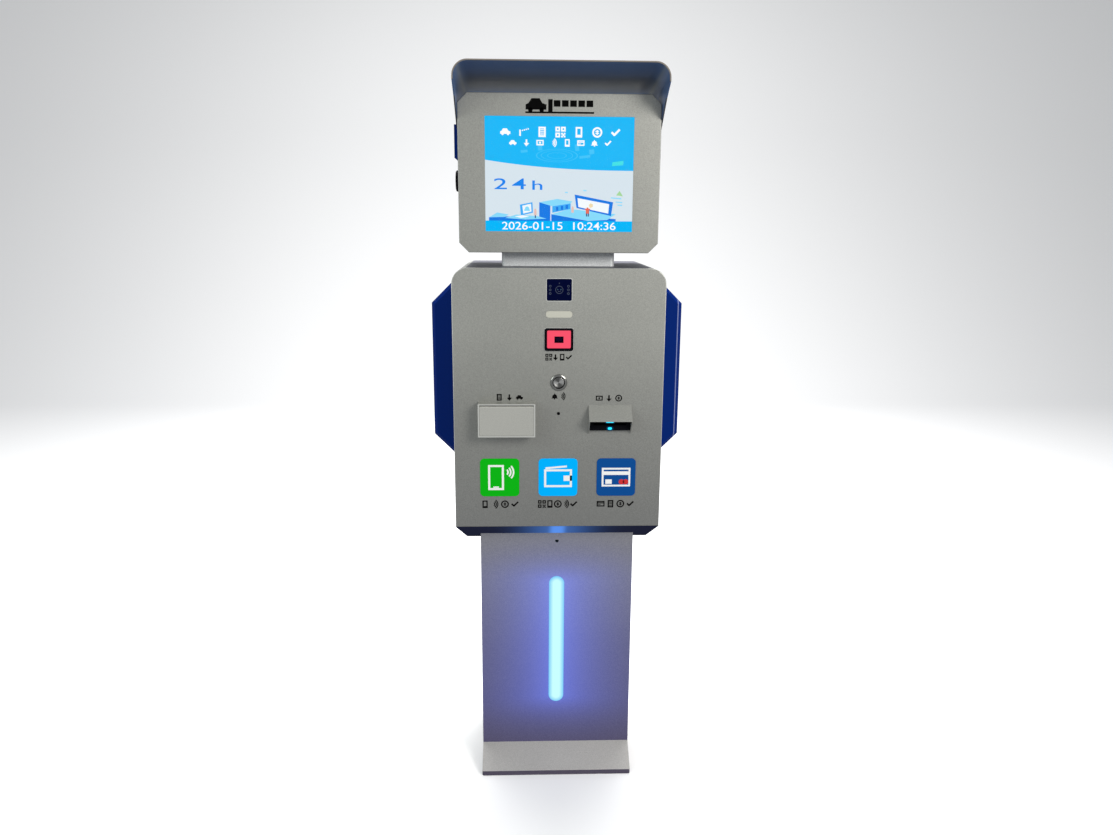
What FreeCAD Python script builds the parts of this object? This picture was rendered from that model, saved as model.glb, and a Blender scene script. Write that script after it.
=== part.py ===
import FreeCAD, Part
import math
import os
import re
import Sketcher

# A free-standing parking pay station: a bolted base with a lit pedestal, a cabinet with the payment
# front, and a display head under a sun hood.  Millimetres, +Z up, the front looks along -Y.  The
# origin is the centre of the anchor bolts on the underside of the base plate.

# ---------------------------------------------------------------- driving sizes, one name each
SIZES = {
    # base and pedestal
    "base_w": 340, "base_d": 324, "base_t": 11, "base_corner": 4, "sheet": 2, "edge_rad": 1,
    "fine_rad": 0.5, "anchor_dx": 250, "anchor_dy": 120, "anchor_rad": 7, "cable_rad": 40,
    "ped_d": 210, "ped_flange": 22, "skirt_top": 50, "skirt_drop": 2.5,
    "ped_plate_t": 4, "cable_window_x": 160, "cable_window_y": 80, "window_corner": 8,
    "spy_hole_rad": 4, "spy_hole_below": 6,
    "cover_edge": 5, "cover_up": 8, "cover_gap": 8,
    "screw_rad": 2.5, "screw_head_lap": 2.5, "screw_head_t": 2.5, "screw_play": 0.1,
    "screw_inset": 12,
    "strip_w": 34, "strip_len": 310, "strip_below": 90.5, "strip_proud": 1, "strip_gap": 0.2,
    "strip_flange": 5, "strip_board_t": 8,
    # cabinet
    "cab_w": 444, "cab_d": 324, "cab_front": -139, "cab_floor": 555, "hip_z": 40, "cab_z": 558,
    "cab_corner": 34, "lip_run": 50, "lip_in": 21, "panel_t": 3, "panel_edge": 1.5,
    "rear_flange": 25, "bolt_rad": 4, "bolt_head_lap": 3, "bolt_head_t": 6, "bolt_end": 6,
    "bolt_dx": 260, "bolt_dy": 150, "gland_bore": 7, "gland_wall": 7, "gland_flange_lap": 5,
    "gland_t": 7, "gland_x": 60, "gland_drop": 20,
    "wing_out": 51.5, "wing_up": 184, "wing_z": 293, "wing_in": 100, "wing_d": 200,
    "wing_bevel": 7,
    # neck and head
    "neck_w": 240, "neck_d": 120, "neck_in": 37, "neck_wall": 4, "neck_lip": 4, "neck_corner": 8,
    "head_w": 414, "head_rise": 29, "head_z": 316, "head_in": 40, "head_d": 200,
    "head_cut": 20, "bezel_t": 3, "bezel_rim": 20, "head_play": 0.1, "bezel_edge": 1.5,
    "screen_w": 304, "screen_z": 228, "screen_drop": 0.5, "glass_t": 3, "glass_lap": 7,
    "display_t": 14, "display_lap": 12, "driver_t": 16, "driver_w": 180, "driver_z": 110, "ear_z": 60,
    # sun hood, its brackets and the vent domes
    "hood_side": 3, "hood_reach": 90, "hood_short": 40, "hood_rise": 48, "hood_drop": 26,
    "hood_corner": 30, "hood_t": 2.5, "cheek_front_z": 36, "cheek_mid_in": 43,
    "cheek_mid_drop": 61, "cheek_low_in": 21, "cheek_z": 116,
    "spacer_rad": 6, "spacer_in": 59, "spacer_short": 26, "spacer_up": 32,
    "bracket_drop": 62, "bracket_lap": 15, "bracket_t": 10.5, "bracket_in": 107, "bracket_d": 30,
    "bracket_gap": 0.3, "bracket_taper": 9, "dome_rad": 22.5, "dome_below": 38.5,
    "dome_proud": 12, "dome_edge": 4,
    # camera, light bar and code scanner
    "cam_w": 52, "cam_z": 45, "cam_up": 513.5, "cam_corner": 3, "fit_gap": 0.2,
    "cam_body_t": 36, "cam_lap": 5, "cam_rim": 2.5, "lens_rad": 9, "lens_reach": 7, "led_rad": 2.5,
    "led_dx": 19, "led_dz": 12, "led_reach": 4,
    "bar_w": 56, "bar_z": 14, "bar_up": 463, "bar_proud": 1, "bar_lap": 4, "bar_back": 3,
    "scan_w": 60.5, "scan_z": 48, "scan_up": 410.5, "scan_corner": 5, "scan_rim": 5,
    "scan_proud": 3, "scan_sleeve": 14, "scan_wall": 2, "scan_glass_t": 2, "scan_glass_in": 1.5,
    "scan_body_t": 34, "scan_core_w": 19, "scan_core_z": 13.5, "scan_core_t": 4,
    # help button and microphone
    "help_up": 319.5, "help_ring_lap": 3, "help_ring_t": 3, "help_barrel_wall": 3,
    "help_cap_rad": 12, "help_run_gap": 0.05, "help_travel": 2, "help_barrel_len": 24,
    "help_cap_len": 11, "help_cap_proud": 1.5, "help_dish": 0.8, "help_dish_edge": 2.4,
    "help_stem_rad": 4, "help_switch_t": 14, "spring_out": 2.5, "spring_wire": 0.54,
    "spring_end_gap": 0.06, "spring_turns": 3,
    "mic_up": 252.6, "mic_hole_rad": 3.5, "mic_rad": 6, "mic_t": 9,
    # ticket outlet
    "ticket_x": -109.5, "ticket_w": 120, "ticket_up": 208, "ticket_z": 71, "ticket_out": 30,
    "ticket_cheek": 3, "ticket_roof": 2.5, "ticket_lip": 3, "flap_play": 0.4, "flap_t": 2.5,
    "flap_pin_rad": 1.5, "flap_knuckle_wall": 1.5, "flap_pin_drop": 5, "flap_pin_in": 3.5,
    "flap_run_gap": 0.05, "ticket_hole_side": 12, "ticket_hole_in": 9, "ticket_hole_top": 12,
    # banknote inlet
    "note_x": 109.5, "note_w": 91, "note_up": 208, "note_z": 63, "note_nose_up": 33,
    "note_tip_t": 2.5, "note_out": 30, "note_cheek": 1.5, "note_roof": 2.5, "note_hole_side": 0.5,
    "note_hole_in": 9, "note_hole_top": 20, "note_slot_w": 70, "note_slot_z": 5,
    "note_slot_up": 14, "note_mouth_out": 7, "note_body_w": 96, "note_body_below": 25,
    "note_body_above": 6, "note_body_d": 190, "note_slot_run": 95,
    "box_w": 110, "box_z": 130, "box_d": 150, "box_up": 27, "box_in": 85, "box_wall": 2,
    "box_float": 0.05, "box_slot_d": 20, "box_slot_in": 50, "box_grip_w": 55, "box_grip_z": 16,
    "box_grip_out": 10, "shelf_t": 3, "shelf_side": 4, "rail_z": 14,
    # payment plates
    "badge_w": 84, "badge_corner": 9, "badge_t": 1.2, "badge_up": 112, "badge_pitch": 125.5,
    # ticket printer
    "print_w": 92, "print_up": 3, "print_z": 62, "print_d": 74, "print_gap": 1,
    "print_slot_w": 84, "print_slot_up": 26, "print_slot_z": 6,
    "platen_rad": 8, "platen_len": 80, "platen_axle": 3, "platen_in": 35, "platen_down": 18,
    "platen_room": 1, "run_gap": 0.05,
    "roll_rad": 38, "roll_len": 80, "roll_core": 8, "roll_behind": 80, "roll_clear": 24,
    "roll_side_gap": 1, "holder_t": 3, "holder_d": 24,
    # equipment plate and what it carries
    "plate_in": 85, "plate_t": 3, "plate_up": 65, "plate_down": 43, "plate_right": 40,
    "ctrl_w": 190, "ctrl_z": 140, "ctrl_t": 40, "ctrl_in": 120, "ctrl_down": 100,
    "psu_w": 160, "psu_z": 98, "psu_t": 38, "psu_in": 110, "psu_down": 150,
    "brk_w": 54, "brk_z": 84, "brk_t": 44, "brk_in": 80, "brk_down": 130, "brk_slot_w": 26,
    "brk_slot_z": 24, "brk_slot_d": 14, "lever_gap": 2, "lever_wall": 3, "lever_axle": 2,
    "lever_len": 18, "lever_t": 5,
    # rear doors, hinges, locks and fan
    "door_gap": 1, "door_t": 2, "door_lap": 9, "door_corner": 8, "hinge_x_in": 9, "hinge_out": 5,
    "hinge_pin_rad": 2.5, "hinge_wall": 2.5, "hinge_len": 22, "hinge_gap": 0.3, "leaf_t": 2,
    "leaf_len": 14, "leaf_gap": 1.2, "hinge_shift": 120, "lock_in": 26, "lock_rad": 9,
    "lock_head_lap": 3, "lock_head_t": 3, "lock_gap": 0.05, "lock_reach": 9, "cam_half": 6,
    "cam_len": 32, "cam_plate": 3, "key_w": 8, "key_t": 2, "key_d": 1.5,
    "slot_w": 90, "slot_z": 5, "slot_pitch": 14, "slot_up": 65, "slot_count": 6, "slot_drop": 22,
    "fan_w": 92, "fan_t": 25, "fan_down": 93, "fan_wall": 3, "fan_hub": 18, "fan_tip_gap": 2,
    "fan_blade_t": 2, "blade_short": 1.75, "fan_axle": 2.5, "fan_bar": 6, "fan_bar_t": 3,
    "fan_blades": 7, "fan_pitch": 35, "fan_slot_pitch": 11, "fan_slot_w": 76, "fan_slots": 7,
}

# Levels, places and mating sizes that follow from the sizes above.
FOLLOWING = {
    "cover_low": "skirt_top + cover_up",
    "screw_head_rad": "screw_rad + screw_head_lap",
    "strip_mid": "cab_floor - strip_below - strip_len/2",
    "cab_low": "cab_floor + hip_z",
    "cab_top": "cab_low + cab_z",
    "cab_rear": "cab_front + cab_d",
    "bolt_head_rad": "bolt_rad + bolt_head_lap",
    "gland_rad": "gland_bore + gland_wall",
    "gland_flange_rad": "gland_rad + gland_flange_lap",
    "wing_low": "cab_low + wing_up",
    "wing_high": "wing_low + wing_z",
    "wing_front": "cab_front + wing_in",
    "head_low": "cab_top + head_rise",
    "head_high": "head_low + head_z",
    "head_front": "cab_front + head_in",
    "head_back": "head_front + head_d",
    "neck_front": "head_front + neck_in",
    "screen_mid": "head_low + head_z/2 - screen_drop",
    "hood_w": "head_w + 2*hood_side",
    "hood_front": "head_front - hood_reach",
    "hood_back": "head_back - hood_short",
    "hood_high": "head_high + hood_rise",
    "cheek_front_low": "hood_high - cheek_front_z",
    "cheek_mid_y": "hood_front + cheek_mid_in",
    "cheek_mid_z": "hood_high - cheek_mid_drop",
    "cheek_low_y": "head_front + cheek_low_in",
    "cheek_low": "hood_high - cheek_z",
    "spacer_front": "head_front + spacer_in",
    "spacer_back": "hood_back - spacer_short",
    "spacer_z": "cheek_low + spacer_up",
    "bracket_low": "cheek_low - bracket_drop",
    "bracket_high": "cheek_low + bracket_lap",
    "bracket_out": "hood_w/2 + bracket_t",
    "bracket_y": "head_front + bracket_in",
    "dome_z": "bracket_low - dome_below",
    "dome_out": "head_w/2 + dome_proud",
    "cam_mid": "cab_low + cam_up",
    "bar_mid": "cab_low + bar_up",
    "scan_mid": "cab_low + scan_up",
    "help_z": "cab_low + help_up",
    "help_barrel_rad": "help_cap_rad + help_barrel_wall",
    "help_ring_rad": "help_barrel_rad + help_ring_lap",
    "spring_rad": "help_stem_rad + spring_out",
    "mic_z": "cab_low + mic_up",
    "ticket_low": "cab_low + ticket_up",
    "ticket_high": "ticket_low + ticket_z",
    "ticket_hole_w": "ticket_w - 2*ticket_hole_side",
    "ticket_hole_low": "ticket_low + ticket_hole_in",
    "ticket_hole_high": "ticket_high - ticket_hole_top",
    "flap_knuckle": "flap_pin_rad + flap_knuckle_wall",
    "note_low": "cab_low + note_up",
    "note_high": "note_low + note_z",
    "note_nose_z": "note_low + note_nose_up",
    "note_tip_z": "note_nose_z + note_tip_t",
    "note_hole_w": "note_w - 2*note_cheek - 2*note_hole_side",
    "note_hole_low": "note_low + note_hole_in",
    "note_hole_high": "note_high - note_hole_top",
    "note_slot_mid": "note_hole_low + note_slot_up",
    "note_body_low": "note_low - note_body_below",
    "note_body_high": "note_high + note_body_above",
    "box_low": "cab_low + box_up",
    "box_front": "cab_front + box_in",
    "box_rear": "box_front + box_d",
    "badge_mid": "cab_low + badge_up",
    "print_low": "ticket_low + print_up",
    "print_high": "print_low + print_z",
    "print_slot_low": "print_low + print_slot_up",
    "print_slot_high": "print_slot_low + print_slot_z",
    "platen_y": "cab_front + panel_t + print_gap + platen_in",
    "platen_z": "print_high - platen_down",
    "roll_y": "platen_y + roll_behind",
    "roll_z": "print_high + roll_clear + roll_rad",
    "plate_y": "cab_rear - plate_in",
    "plate_left": "sheet - cab_w/2",
    "plate_low": "cab_low + plate_up",
    "plate_high": "cab_top - plate_down",
    "ctrl_x": "plate_left + ctrl_in",
    "psu_x": "plate_left + psu_in",
    "brk_x": "plate_left + brk_in",
    "ctrl_mid": "plate_high - ctrl_down",
    "psu_mid": "ctrl_mid - psu_down",
    "brk_mid": "psu_mid - brk_down",
    "lever_w": "brk_slot_w - 2*lever_gap",
    "lever_rad": "lever_axle + lever_wall",
    "hinge_knuckle": "hinge_pin_rad + hinge_wall",
    "lock_head_rad": "lock_rad + lock_head_lap",
    "slot_low": "cab_low + slot_up",
    "fan_mid": "cab_top - fan_down",
    "fan_bore": "fan_w/2 - fan_wall",
    "fan_blade": "fan_bore - fan_tip_gap",
}

doc = FreeCAD.newDocument("pay_station")
sheet = doc.addObject("Spreadsheet::Sheet", "dims")
for row, (alias, size) in enumerate(SIZES.items(), start=1):
    sheet.set(f"A{row}", alias)
    sheet.set(f"B{row}", str(size))
    sheet.setAlias(f"B{row}", alias)
doc.recompute()

WORD = re.compile(r"[a-z][a-z_0-9]*")
PILL_END = 0.499  # a pill's end radius by its width: just under half keeps its short sides


def spelled(word):
    """One name of an expression, in the document's own spelling."""
    name = word[0]
    if name in SIZES:
        return f"dims.{name}"
    if name in FOLLOWING:
        return f"({bound(FOLLOWING[name])})"
    return name


def bound(text):
    """An expression over the sizes' names, in the document's own spelling."""
    return WORD.sub(spelled, str(text))


def value(text):
    """What an expression over the sizes' names is worth now."""
    return float(sheet.evalExpression(bound(text)))


# ---------------------------------------------------------------- sketch outlines
def pin_point(drawing, element, place, x, y):
    """Dimension one point of a sketch from the origin, both ways."""
    for kind, text in (("DistanceX", x), ("DistanceY", y)):
        index = drawing.addConstraint(
            Sketcher.Constraint(kind, -1, 1, element, place, value(text)))
        drawing.setExpression(f"Constraints[{index}]", bound(text))


def polygon(*points):
    """A closed outline of straight lines through the given points."""
    def draw(drawing):
        corners = [FreeCAD.Vector(value(x), value(y), 0) for x, y in points]
        first = len(drawing.Geometry)
        for start, end in zip(corners, corners[1:] + corners[:1]):
            drawing.addGeometry(Part.LineSegment(start, end))
        for step, (x, y) in enumerate(points):
            following = first + (step + 1) % len(points)
            drawing.addConstraint(Sketcher.Constraint("Coincident", first + step, 2, following, 1))
            pin_point(drawing, first + step, 1, x, y)
    return draw


def circle(x, y, radius):
    """A full circle."""
    def draw(drawing):
        centre = FreeCAD.Vector(value(x), value(y), 0)
        ring = drawing.addGeometry(
            Part.Circle(centre, FreeCAD.Vector(0, 0, 1), value(radius)))
        pin_point(drawing, ring, 3, x, y)
        index = drawing.addConstraint(Sketcher.Constraint("Radius", ring, value(radius)))
        drawing.setExpression(f"Constraints[{index}]", bound(radius))
    return draw


def rounded(x, y, width, height, radius):
    """A rectangle about (x, y) with rounded corners."""
    def draw(drawing):
        signs = ((1, 1), (-1, 1), (-1, -1), (1, -1))
        quarter = math.pi / 2
        arcs = []
        for turn, (right, up) in enumerate(signs):
            arc_x = f"({x}) + ({right})*(({width})/2 - ({radius}))"
            arc_y = f"({y}) + ({up})*(({height})/2 - ({radius}))"
            centre = FreeCAD.Vector(value(arc_x), value(arc_y), 0)
            ring = Part.Circle(centre, FreeCAD.Vector(0, 0, 1), value(radius))
            arc = drawing.addGeometry(
                Part.ArcOfCircle(ring, turn * quarter, (turn + 1) * quarter))
            pin_point(drawing, arc, 3, arc_x, arc_y)
            index = drawing.addConstraint(Sketcher.Constraint("Radius", arc, value(radius)))
            drawing.setExpression(f"Constraints[{index}]", bound(radius))
            arcs.append(arc)
        for arc, following in zip(arcs, arcs[1:] + arcs[:1]):
            line = drawing.addGeometry(
                Part.LineSegment(drawing.getPoint(arc, 2), drawing.getPoint(following, 1)))
            drawing.addConstraint(Sketcher.Constraint("Tangent", arc, 2, line, 1))
            drawing.addConstraint(Sketcher.Constraint("Tangent", line, 2, following, 1))
    return draw


def pill(x, y, width, height):
    """A rectangle with half-round ends on its longer axis."""
    end = f"{PILL_END}*min({width}; {height})"
    return rounded(x, y, width, height, end)


def chamfered(width, low, high, cut):
    """A rectangle about x = 0 with its four corners cut at 45 degrees."""
    half = f"({width})/2"
    inner = f"({width})/2 - ({cut})"
    return polygon(
        (f"-({half})", f"{low} + {cut}"), (f"-({inner})", low), (inner, low),
        (half, f"{low} + {cut}"), (half, f"{high} - ({cut})"), (inner, high),
        (f"-({inner})", high), (f"-({half})", f"{high} - ({cut})"))


# ---------------------------------------------------------------- features of one body
def body(name):
    """A sub-part: its Label names its file."""
    made = doc.addObject("PartDesign::Body", name)
    made.Label = name
    return made


def sketch(owner, plane, level, *outlines):
    """A sketch across the given plane of its own body, at a level along that plane's axis."""
    drawing = owner.newObject("Sketcher::SketchObject", f"{owner.Name}_sketch")
    role = f"{plane}_Plane"
    support = [item for item in owner.Origin.OriginFeatures if item.Role == role][0]
    drawing.AttachmentSupport = [(support, "")]
    drawing.MapMode = "FlatFace"
    facing = "-" if plane == "XZ" else ""
    drawing.setExpression("AttachmentOffset.Base.z", f"{facing}({bound(level)})")
    for outline in outlines:
        outline(drawing)
    return drawing


def extrude(owner, kind, plane, low, high, outlines):
    """A pad or a pocket from one level to a higher one."""
    feature = owner.newObject(f"PartDesign::{kind}", f"{owner.Name}_{kind.lower()}")
    feature.Profile = sketch(owner, plane, low, *outlines)
    feature.setExpression("Length", f"({bound(high)}) - ({bound(low)})")
    feature.Reversed = (kind == "Pad") == (plane == "XZ")
    return feature


def add(owner, plane, low, high, *outlines):
    """Material between two levels."""
    return extrude(owner, "Pad", plane, low, high, outlines)


def cut(owner, plane, low, high, *outlines):
    """A recess or a hole between two levels."""
    return extrude(owner, "Pocket", plane, low, high, outlines)


def edges_where(feature, wanted):
    """Names of the feature's edges whose bounding box passes the test."""
    doc.recompute()
    return [f"Edge{place}" for place, edge in enumerate(feature.Shape.Edges, start=1)
            if wanted(edge.BoundBox)]


def soften(owner, feature, kind, size, wanted):
    """A fillet or a chamfer on the edges that pass the test."""
    dressed = owner.newObject(f"PartDesign::{kind}", f"{owner.Name}_{kind.lower()}")
    dressed.Base = (feature, edges_where(feature, wanted))
    dressed.setExpression("Radius" if kind == "Fillet" else "Size", bound(size))
    return dressed


def flat_at(box, axis, level):
    """True where a bounding box lies in the plane at this level of the axis."""
    low = getattr(box, f"{axis}Min")
    high = getattr(box, f"{axis}Max")
    return abs(low - level) < 1e-3 and abs(high - level) < 1e-3


# ---------------------------------------------------------------- plain solids and booleans
TURNS = {
    "X": FreeCAD.Rotation(FreeCAD.Vector(0, 1, 0), 90),
    "Y": FreeCAD.Rotation(FreeCAD.Vector(1, 0, 0), -90),
    "Z": FreeCAD.Rotation(),
}


def block(x, y, z):
    """A box between two levels on each axis."""
    solid = doc.addObject("Part::Box", "block")
    for axis, length, (low, high) in (("x", "Length", x), ("y", "Width", y), ("z", "Height", z)):
        solid.setExpression(f"Placement.Base.{axis}", bound(low))
        solid.setExpression(length, f"({bound(high)}) - ({bound(low)})")
    return solid


def rod(axis, low, high, across, radius):
    """A cylinder along an axis between two levels; across is its centre on the other two axes."""
    solid = doc.addObject("Part::Cylinder", "rod")
    solid.Placement = FreeCAD.Placement(FreeCAD.Vector(), TURNS[axis])
    others = [name for name in "XYZ" if name != axis]
    for name, place in zip([axis] + others, (low,) + tuple(across)):
        solid.setExpression(f"Placement.Base.{name.lower()}", bound(place))
    solid.setExpression("Height", f"({bound(high)}) - ({bound(low)})")
    solid.setExpression("Radius", bound(radius))
    return solid


def joined(name, *solids):
    """Solids fused into one."""
    made = doc.addObject("Part::MultiFuse", name)
    made.Shapes = list(solids)
    made.Label = name
    return made


def less(name, base, *tools):
    """A solid with others cut away."""
    made = doc.addObject("Part::Cut", name)
    made.Base = base
    made.Tool = tools[0] if len(tools) == 1 else joined(f"{name}_tools", *tools)
    made.Label = name
    return made


def group(name, *solids):
    """Like pieces that share one node as separate solids."""
    made = doc.addObject("Part::Compound", name)
    made.Links = list(solids)
    made.Label = name
    return made


SUBPARTS = []


def keep(*made):
    """List finished sub-parts for the checks and the files."""
    SUBPARTS.extend(made)


# ---------------------------------------------------------------- base
PED_FRONT = "-(ped_d)/2"
PED_REAR = "(ped_d)/2"
SIDES = (-1, 1)


def base_plate():
    """Steel plate with four anchor holes and the bore that the ground cables come up through."""
    plate = body("base_plate")
    add(plate, "XY", "0", "base_t", rounded("0", "0", "base_w", "base_d", "base_corner"))
    holes = [circle(f"({across})*anchor_dx/2", f"({along})*anchor_dy/2", "anchor_rad")
             for across in SIDES for along in SIDES]
    cut(plate, "XY", "0", "base_t", circle("0", "0", "cable_rad"), *holes)
    keep(plate)


def base_skirts():
    """Folded covers that slope from the pedestal's front and rear down to the plate's edges."""
    covers = []
    for side in SIDES:
        cover = body("base_skirt")
        wall = f"({side})*ped_d/2"
        toe = f"({side})*base_d/2"
        inner_toe = f"({toe}) - ({side})*skirt_drop*(base_d - ped_d)/2/(skirt_top - base_t)"
        add(cover, "YZ", "-base_w/2", "base_w/2",
            polygon((wall, "base_t"), (toe, "base_t"), (wall, "skirt_top")))
        cut(cover, "YZ", "-base_w/2 + sheet", "base_w/2 - sheet",
            polygon((wall, "base_t"), (inner_toe, "base_t"), (wall, "skirt_top - skirt_drop")))
        covers.append(cover)
    keep(group("base_skirts", *covers))


# ---------------------------------------------------------------- pedestal
def pedestal_screw_places():
    """Three screws down each edge of the rear cover, as (x, z)."""
    middle = "(cover_low + cab_floor - cover_gap)/2"
    heights = ("cover_low + screw_inset", middle, "cab_floor - cover_gap - screw_inset")
    return [(f"({side})*(base_w/2 - screw_inset)", height) for side in SIDES for height in heights]


def pedestal_shell():
    """Folded steel column, open behind between two flanges; its top follows the cabinet's hip."""
    shell = body("pedestal_shell")
    half = "base_w/2"
    inner = "base_w/2 - sheet"
    back = f"{PED_REAR} - sheet"
    edge = "base_w/2 - ped_flange"
    slope = "(cab_low - cab_floor)/lip_run"
    hip_y = "cab_front + lip_run"
    left = [(f"-({half})", PED_REAR), (f"-({half})", PED_FRONT)]
    right = [(half, PED_FRONT), (half, PED_REAR), (edge, PED_REAR), (edge, back), (inner, back),
             (inner, f"{PED_FRONT} + sheet")]
    inside = [(f"-({inner})", f"{PED_FRONT} + sheet"), (f"-({inner})", back),
              (f"-({edge})", back), (f"-({edge})", PED_REAR)]
    add(shell, "XY", "base_t", "cab_low", polygon(*left, *right, *inside))
    front_out = f"{PED_FRONT} - sheet"
    cut(shell, "YZ", "-base_w", "base_w",
        polygon((hip_y, "cab_floor"), (f"{PED_REAR} + sheet", "cab_floor"),
                (f"{PED_REAR} + sheet", "cab_low + sheet"), (front_out, "cab_low + sheet"),
                (front_out, f"cab_floor + ({hip_y} - ({front_out}))*{slope}")))
    slot_w = "strip_w + 2*strip_gap"
    slot_z = "strip_len + 2*strip_gap"
    cut(shell, "XZ", PED_FRONT, f"{PED_FRONT} + sheet",
        pill("0", "strip_mid", slot_w, slot_z),
        circle("0", "cab_floor - spy_hole_below", "spy_hole_rad"))
    cut(shell, "XZ", back, PED_REAR,
        *[circle(x, z, "screw_rad + screw_play") for x, z in pedestal_screw_places()])
    keep(shell)


def cabinet_bolt_places():
    """Four bolts between the pedestal and the cabinet, as (x, y)."""
    return [(f"({across})*bolt_dx/2", f"({along})*bolt_dy/2") for across in SIDES for along in SIDES]


def pedestal_top_plate():
    """Plate welded inside the pedestal's top, which the cabinet is bolted to."""
    plate = body("pedestal_top_plate")
    low = "cab_floor - ped_plate_t"
    add(plate, "XY", low, "cab_floor",
        rounded("0", "0", "base_w - 2*sheet", "ped_d - 2*sheet", "edge_rad"))
    cut(plate, "XY", low, "cab_floor",
        rounded("0", "0", "cable_window_x", "cable_window_y", "window_corner"),
        *[circle(x, y, "bolt_rad + screw_play") for x, y in cabinet_bolt_places()])
    keep(plate)


def pedestal_cover():
    """Flat rear cover with its six screws."""
    cover = body("pedestal_rear_cover")
    low = PED_REAR
    high = f"{PED_REAR} + sheet"
    middle = "(cover_low + cab_floor - cover_gap)/2"
    add(cover, "XZ", low, high,
        rounded("0", middle, "base_w - 2*cover_edge", "cab_floor - cover_gap - cover_low",
                "base_corner"))
    cut(cover, "XZ", low, high,
        *[circle(x, z, "screw_rad + screw_play") for x, z in pedestal_screw_places()])
    screws = []
    for x, z in pedestal_screw_places():
        shank = rod("Y", f"{PED_REAR} - 2*sheet", high, (x, z), "screw_rad")
        head = rod("Y", high, f"{high} + screw_head_t", (x, z), "screw_head_rad")
        screws.append(joined("cover_screw", shank, head))
    keep(cover, group("pedestal_cover_screws", *screws))


def light_strip():
    """Opal pill in the pedestal's front, with its flange and its light board behind the sheet."""
    lens = body("strip_diffuser")
    behind = f"{PED_FRONT} + sheet"
    add(lens, "XZ", f"{PED_FRONT} - strip_proud", behind, pill("0", "strip_mid", "strip_w", "strip_len"))
    add(lens, "XZ", behind, f"{behind} + sheet",
        pill("0", "strip_mid", "strip_w + 2*strip_flange", "strip_len + 2*strip_flange"))
    board = body("strip_led_board")
    add(board, "XZ", f"{behind} + sheet", f"{behind} + sheet + strip_board_t",
        rounded("0", "strip_mid", "strip_w", "strip_len - strip_w", "sheet"))
    keep(lens, board)


# ---------------------------------------------------------------- cabinet
def tapered(x_low, x_high, y_low, y_high, low, high):
    """A wedge that grows from a lower rectangle to an upper one; each extent is (low, high) half."""
    solid = doc.addObject("Part::Wedge", "taper")
    solid.Placement = FreeCAD.Placement(
        FreeCAD.Vector(), FreeCAD.Rotation(FreeCAD.Vector(1, 0, 0), 90))
    cells = {
        "Xmin": f"-({x_low})", "Xmax": x_low, "X2min": f"-({x_high})", "X2max": x_high,
        "Zmin": f"-({y_low[1]})", "Zmax": f"-({y_low[0]})",
        "Z2min": f"-({y_high[1]})", "Z2max": f"-({y_high[0]})", "Ymin": low, "Ymax": high}
    for cell, text in cells.items():
        solid.setExpression(cell, bound(text))
    return solid


def cabinet_pan():
    """Bottom pan of the cabinet: a hip in front and at both sides leads down to the pedestal."""
    outer = tapered("cab_w/2 - lip_in", "cab_w/2", ("cab_front + lip_run", "cab_rear"),
                    ("cab_front", "cab_rear"), "cab_floor", "cab_low")
    inner = tapered("cab_w/2 - lip_in - sheet", "cab_w/2 - sheet",
                    ("cab_front + lip_run + sheet", "cab_rear - sheet"),
                    ("cab_front + sheet", "cab_rear - sheet"), "cab_floor + sheet", "cab_low + sheet")
    tools = [inner, block(("-cable_window_x/2", "cable_window_x/2"),
                          ("-cable_window_y/2", "cable_window_y/2"),
                          ("cab_floor - sheet", "cab_floor + 2*sheet"))]
    for x, y in cabinet_bolt_places():
        tools.append(rod("Z", "cab_floor - sheet", "cab_floor + 2*sheet", (x, y), "bolt_rad + screw_play"))
    tools.append(rod("Z", "cab_floor - sheet", "cab_floor + 2*sheet",
                     ("cab_w/2 - lip_in - gland_x", "cab_rear - gland_x"), "gland_rad + screw_play"))
    keep(less("cabinet_pan", outer, *tools))


def cabinet_bolts():
    """Four bolts with nuts, from under the pedestal's top plate into the pan."""
    bolts = []
    low = "cab_floor - ped_plate_t"
    for place in cabinet_bolt_places():
        head = rod("Z", f"{low} - bolt_head_t", low, place, "bolt_head_rad")
        shank = rod("Z", low, "cab_floor + sheet + bolt_head_t + bolt_end", place, "bolt_rad")
        nut = rod("Z", "cab_floor + sheet", "cab_floor + sheet + bolt_head_t", place, "bolt_head_rad")
        bolts.append(joined("cabinet_bolt", head, shank, nut))
    keep(group("cabinet_bolts", *bolts))


def cable_gland():
    """Screwed gland in the pan's floor, beside the pedestal, for the mains lead."""
    place = ("cab_w/2 - lip_in - gland_x", "cab_rear - gland_x")
    top = "cab_floor + sheet"
    flange = rod("Z", top, f"{top} + gland_t", place, "gland_flange_rad")
    barrel = rod("Z", "cab_floor - gland_drop", top, place, "gland_rad")
    bore = rod("Z", "cab_floor - gland_drop - gland_t", f"{top} + 2*gland_t", place, "gland_bore")
    keep(less("cable_gland", joined("gland_outer", flange, barrel), bore))


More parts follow.
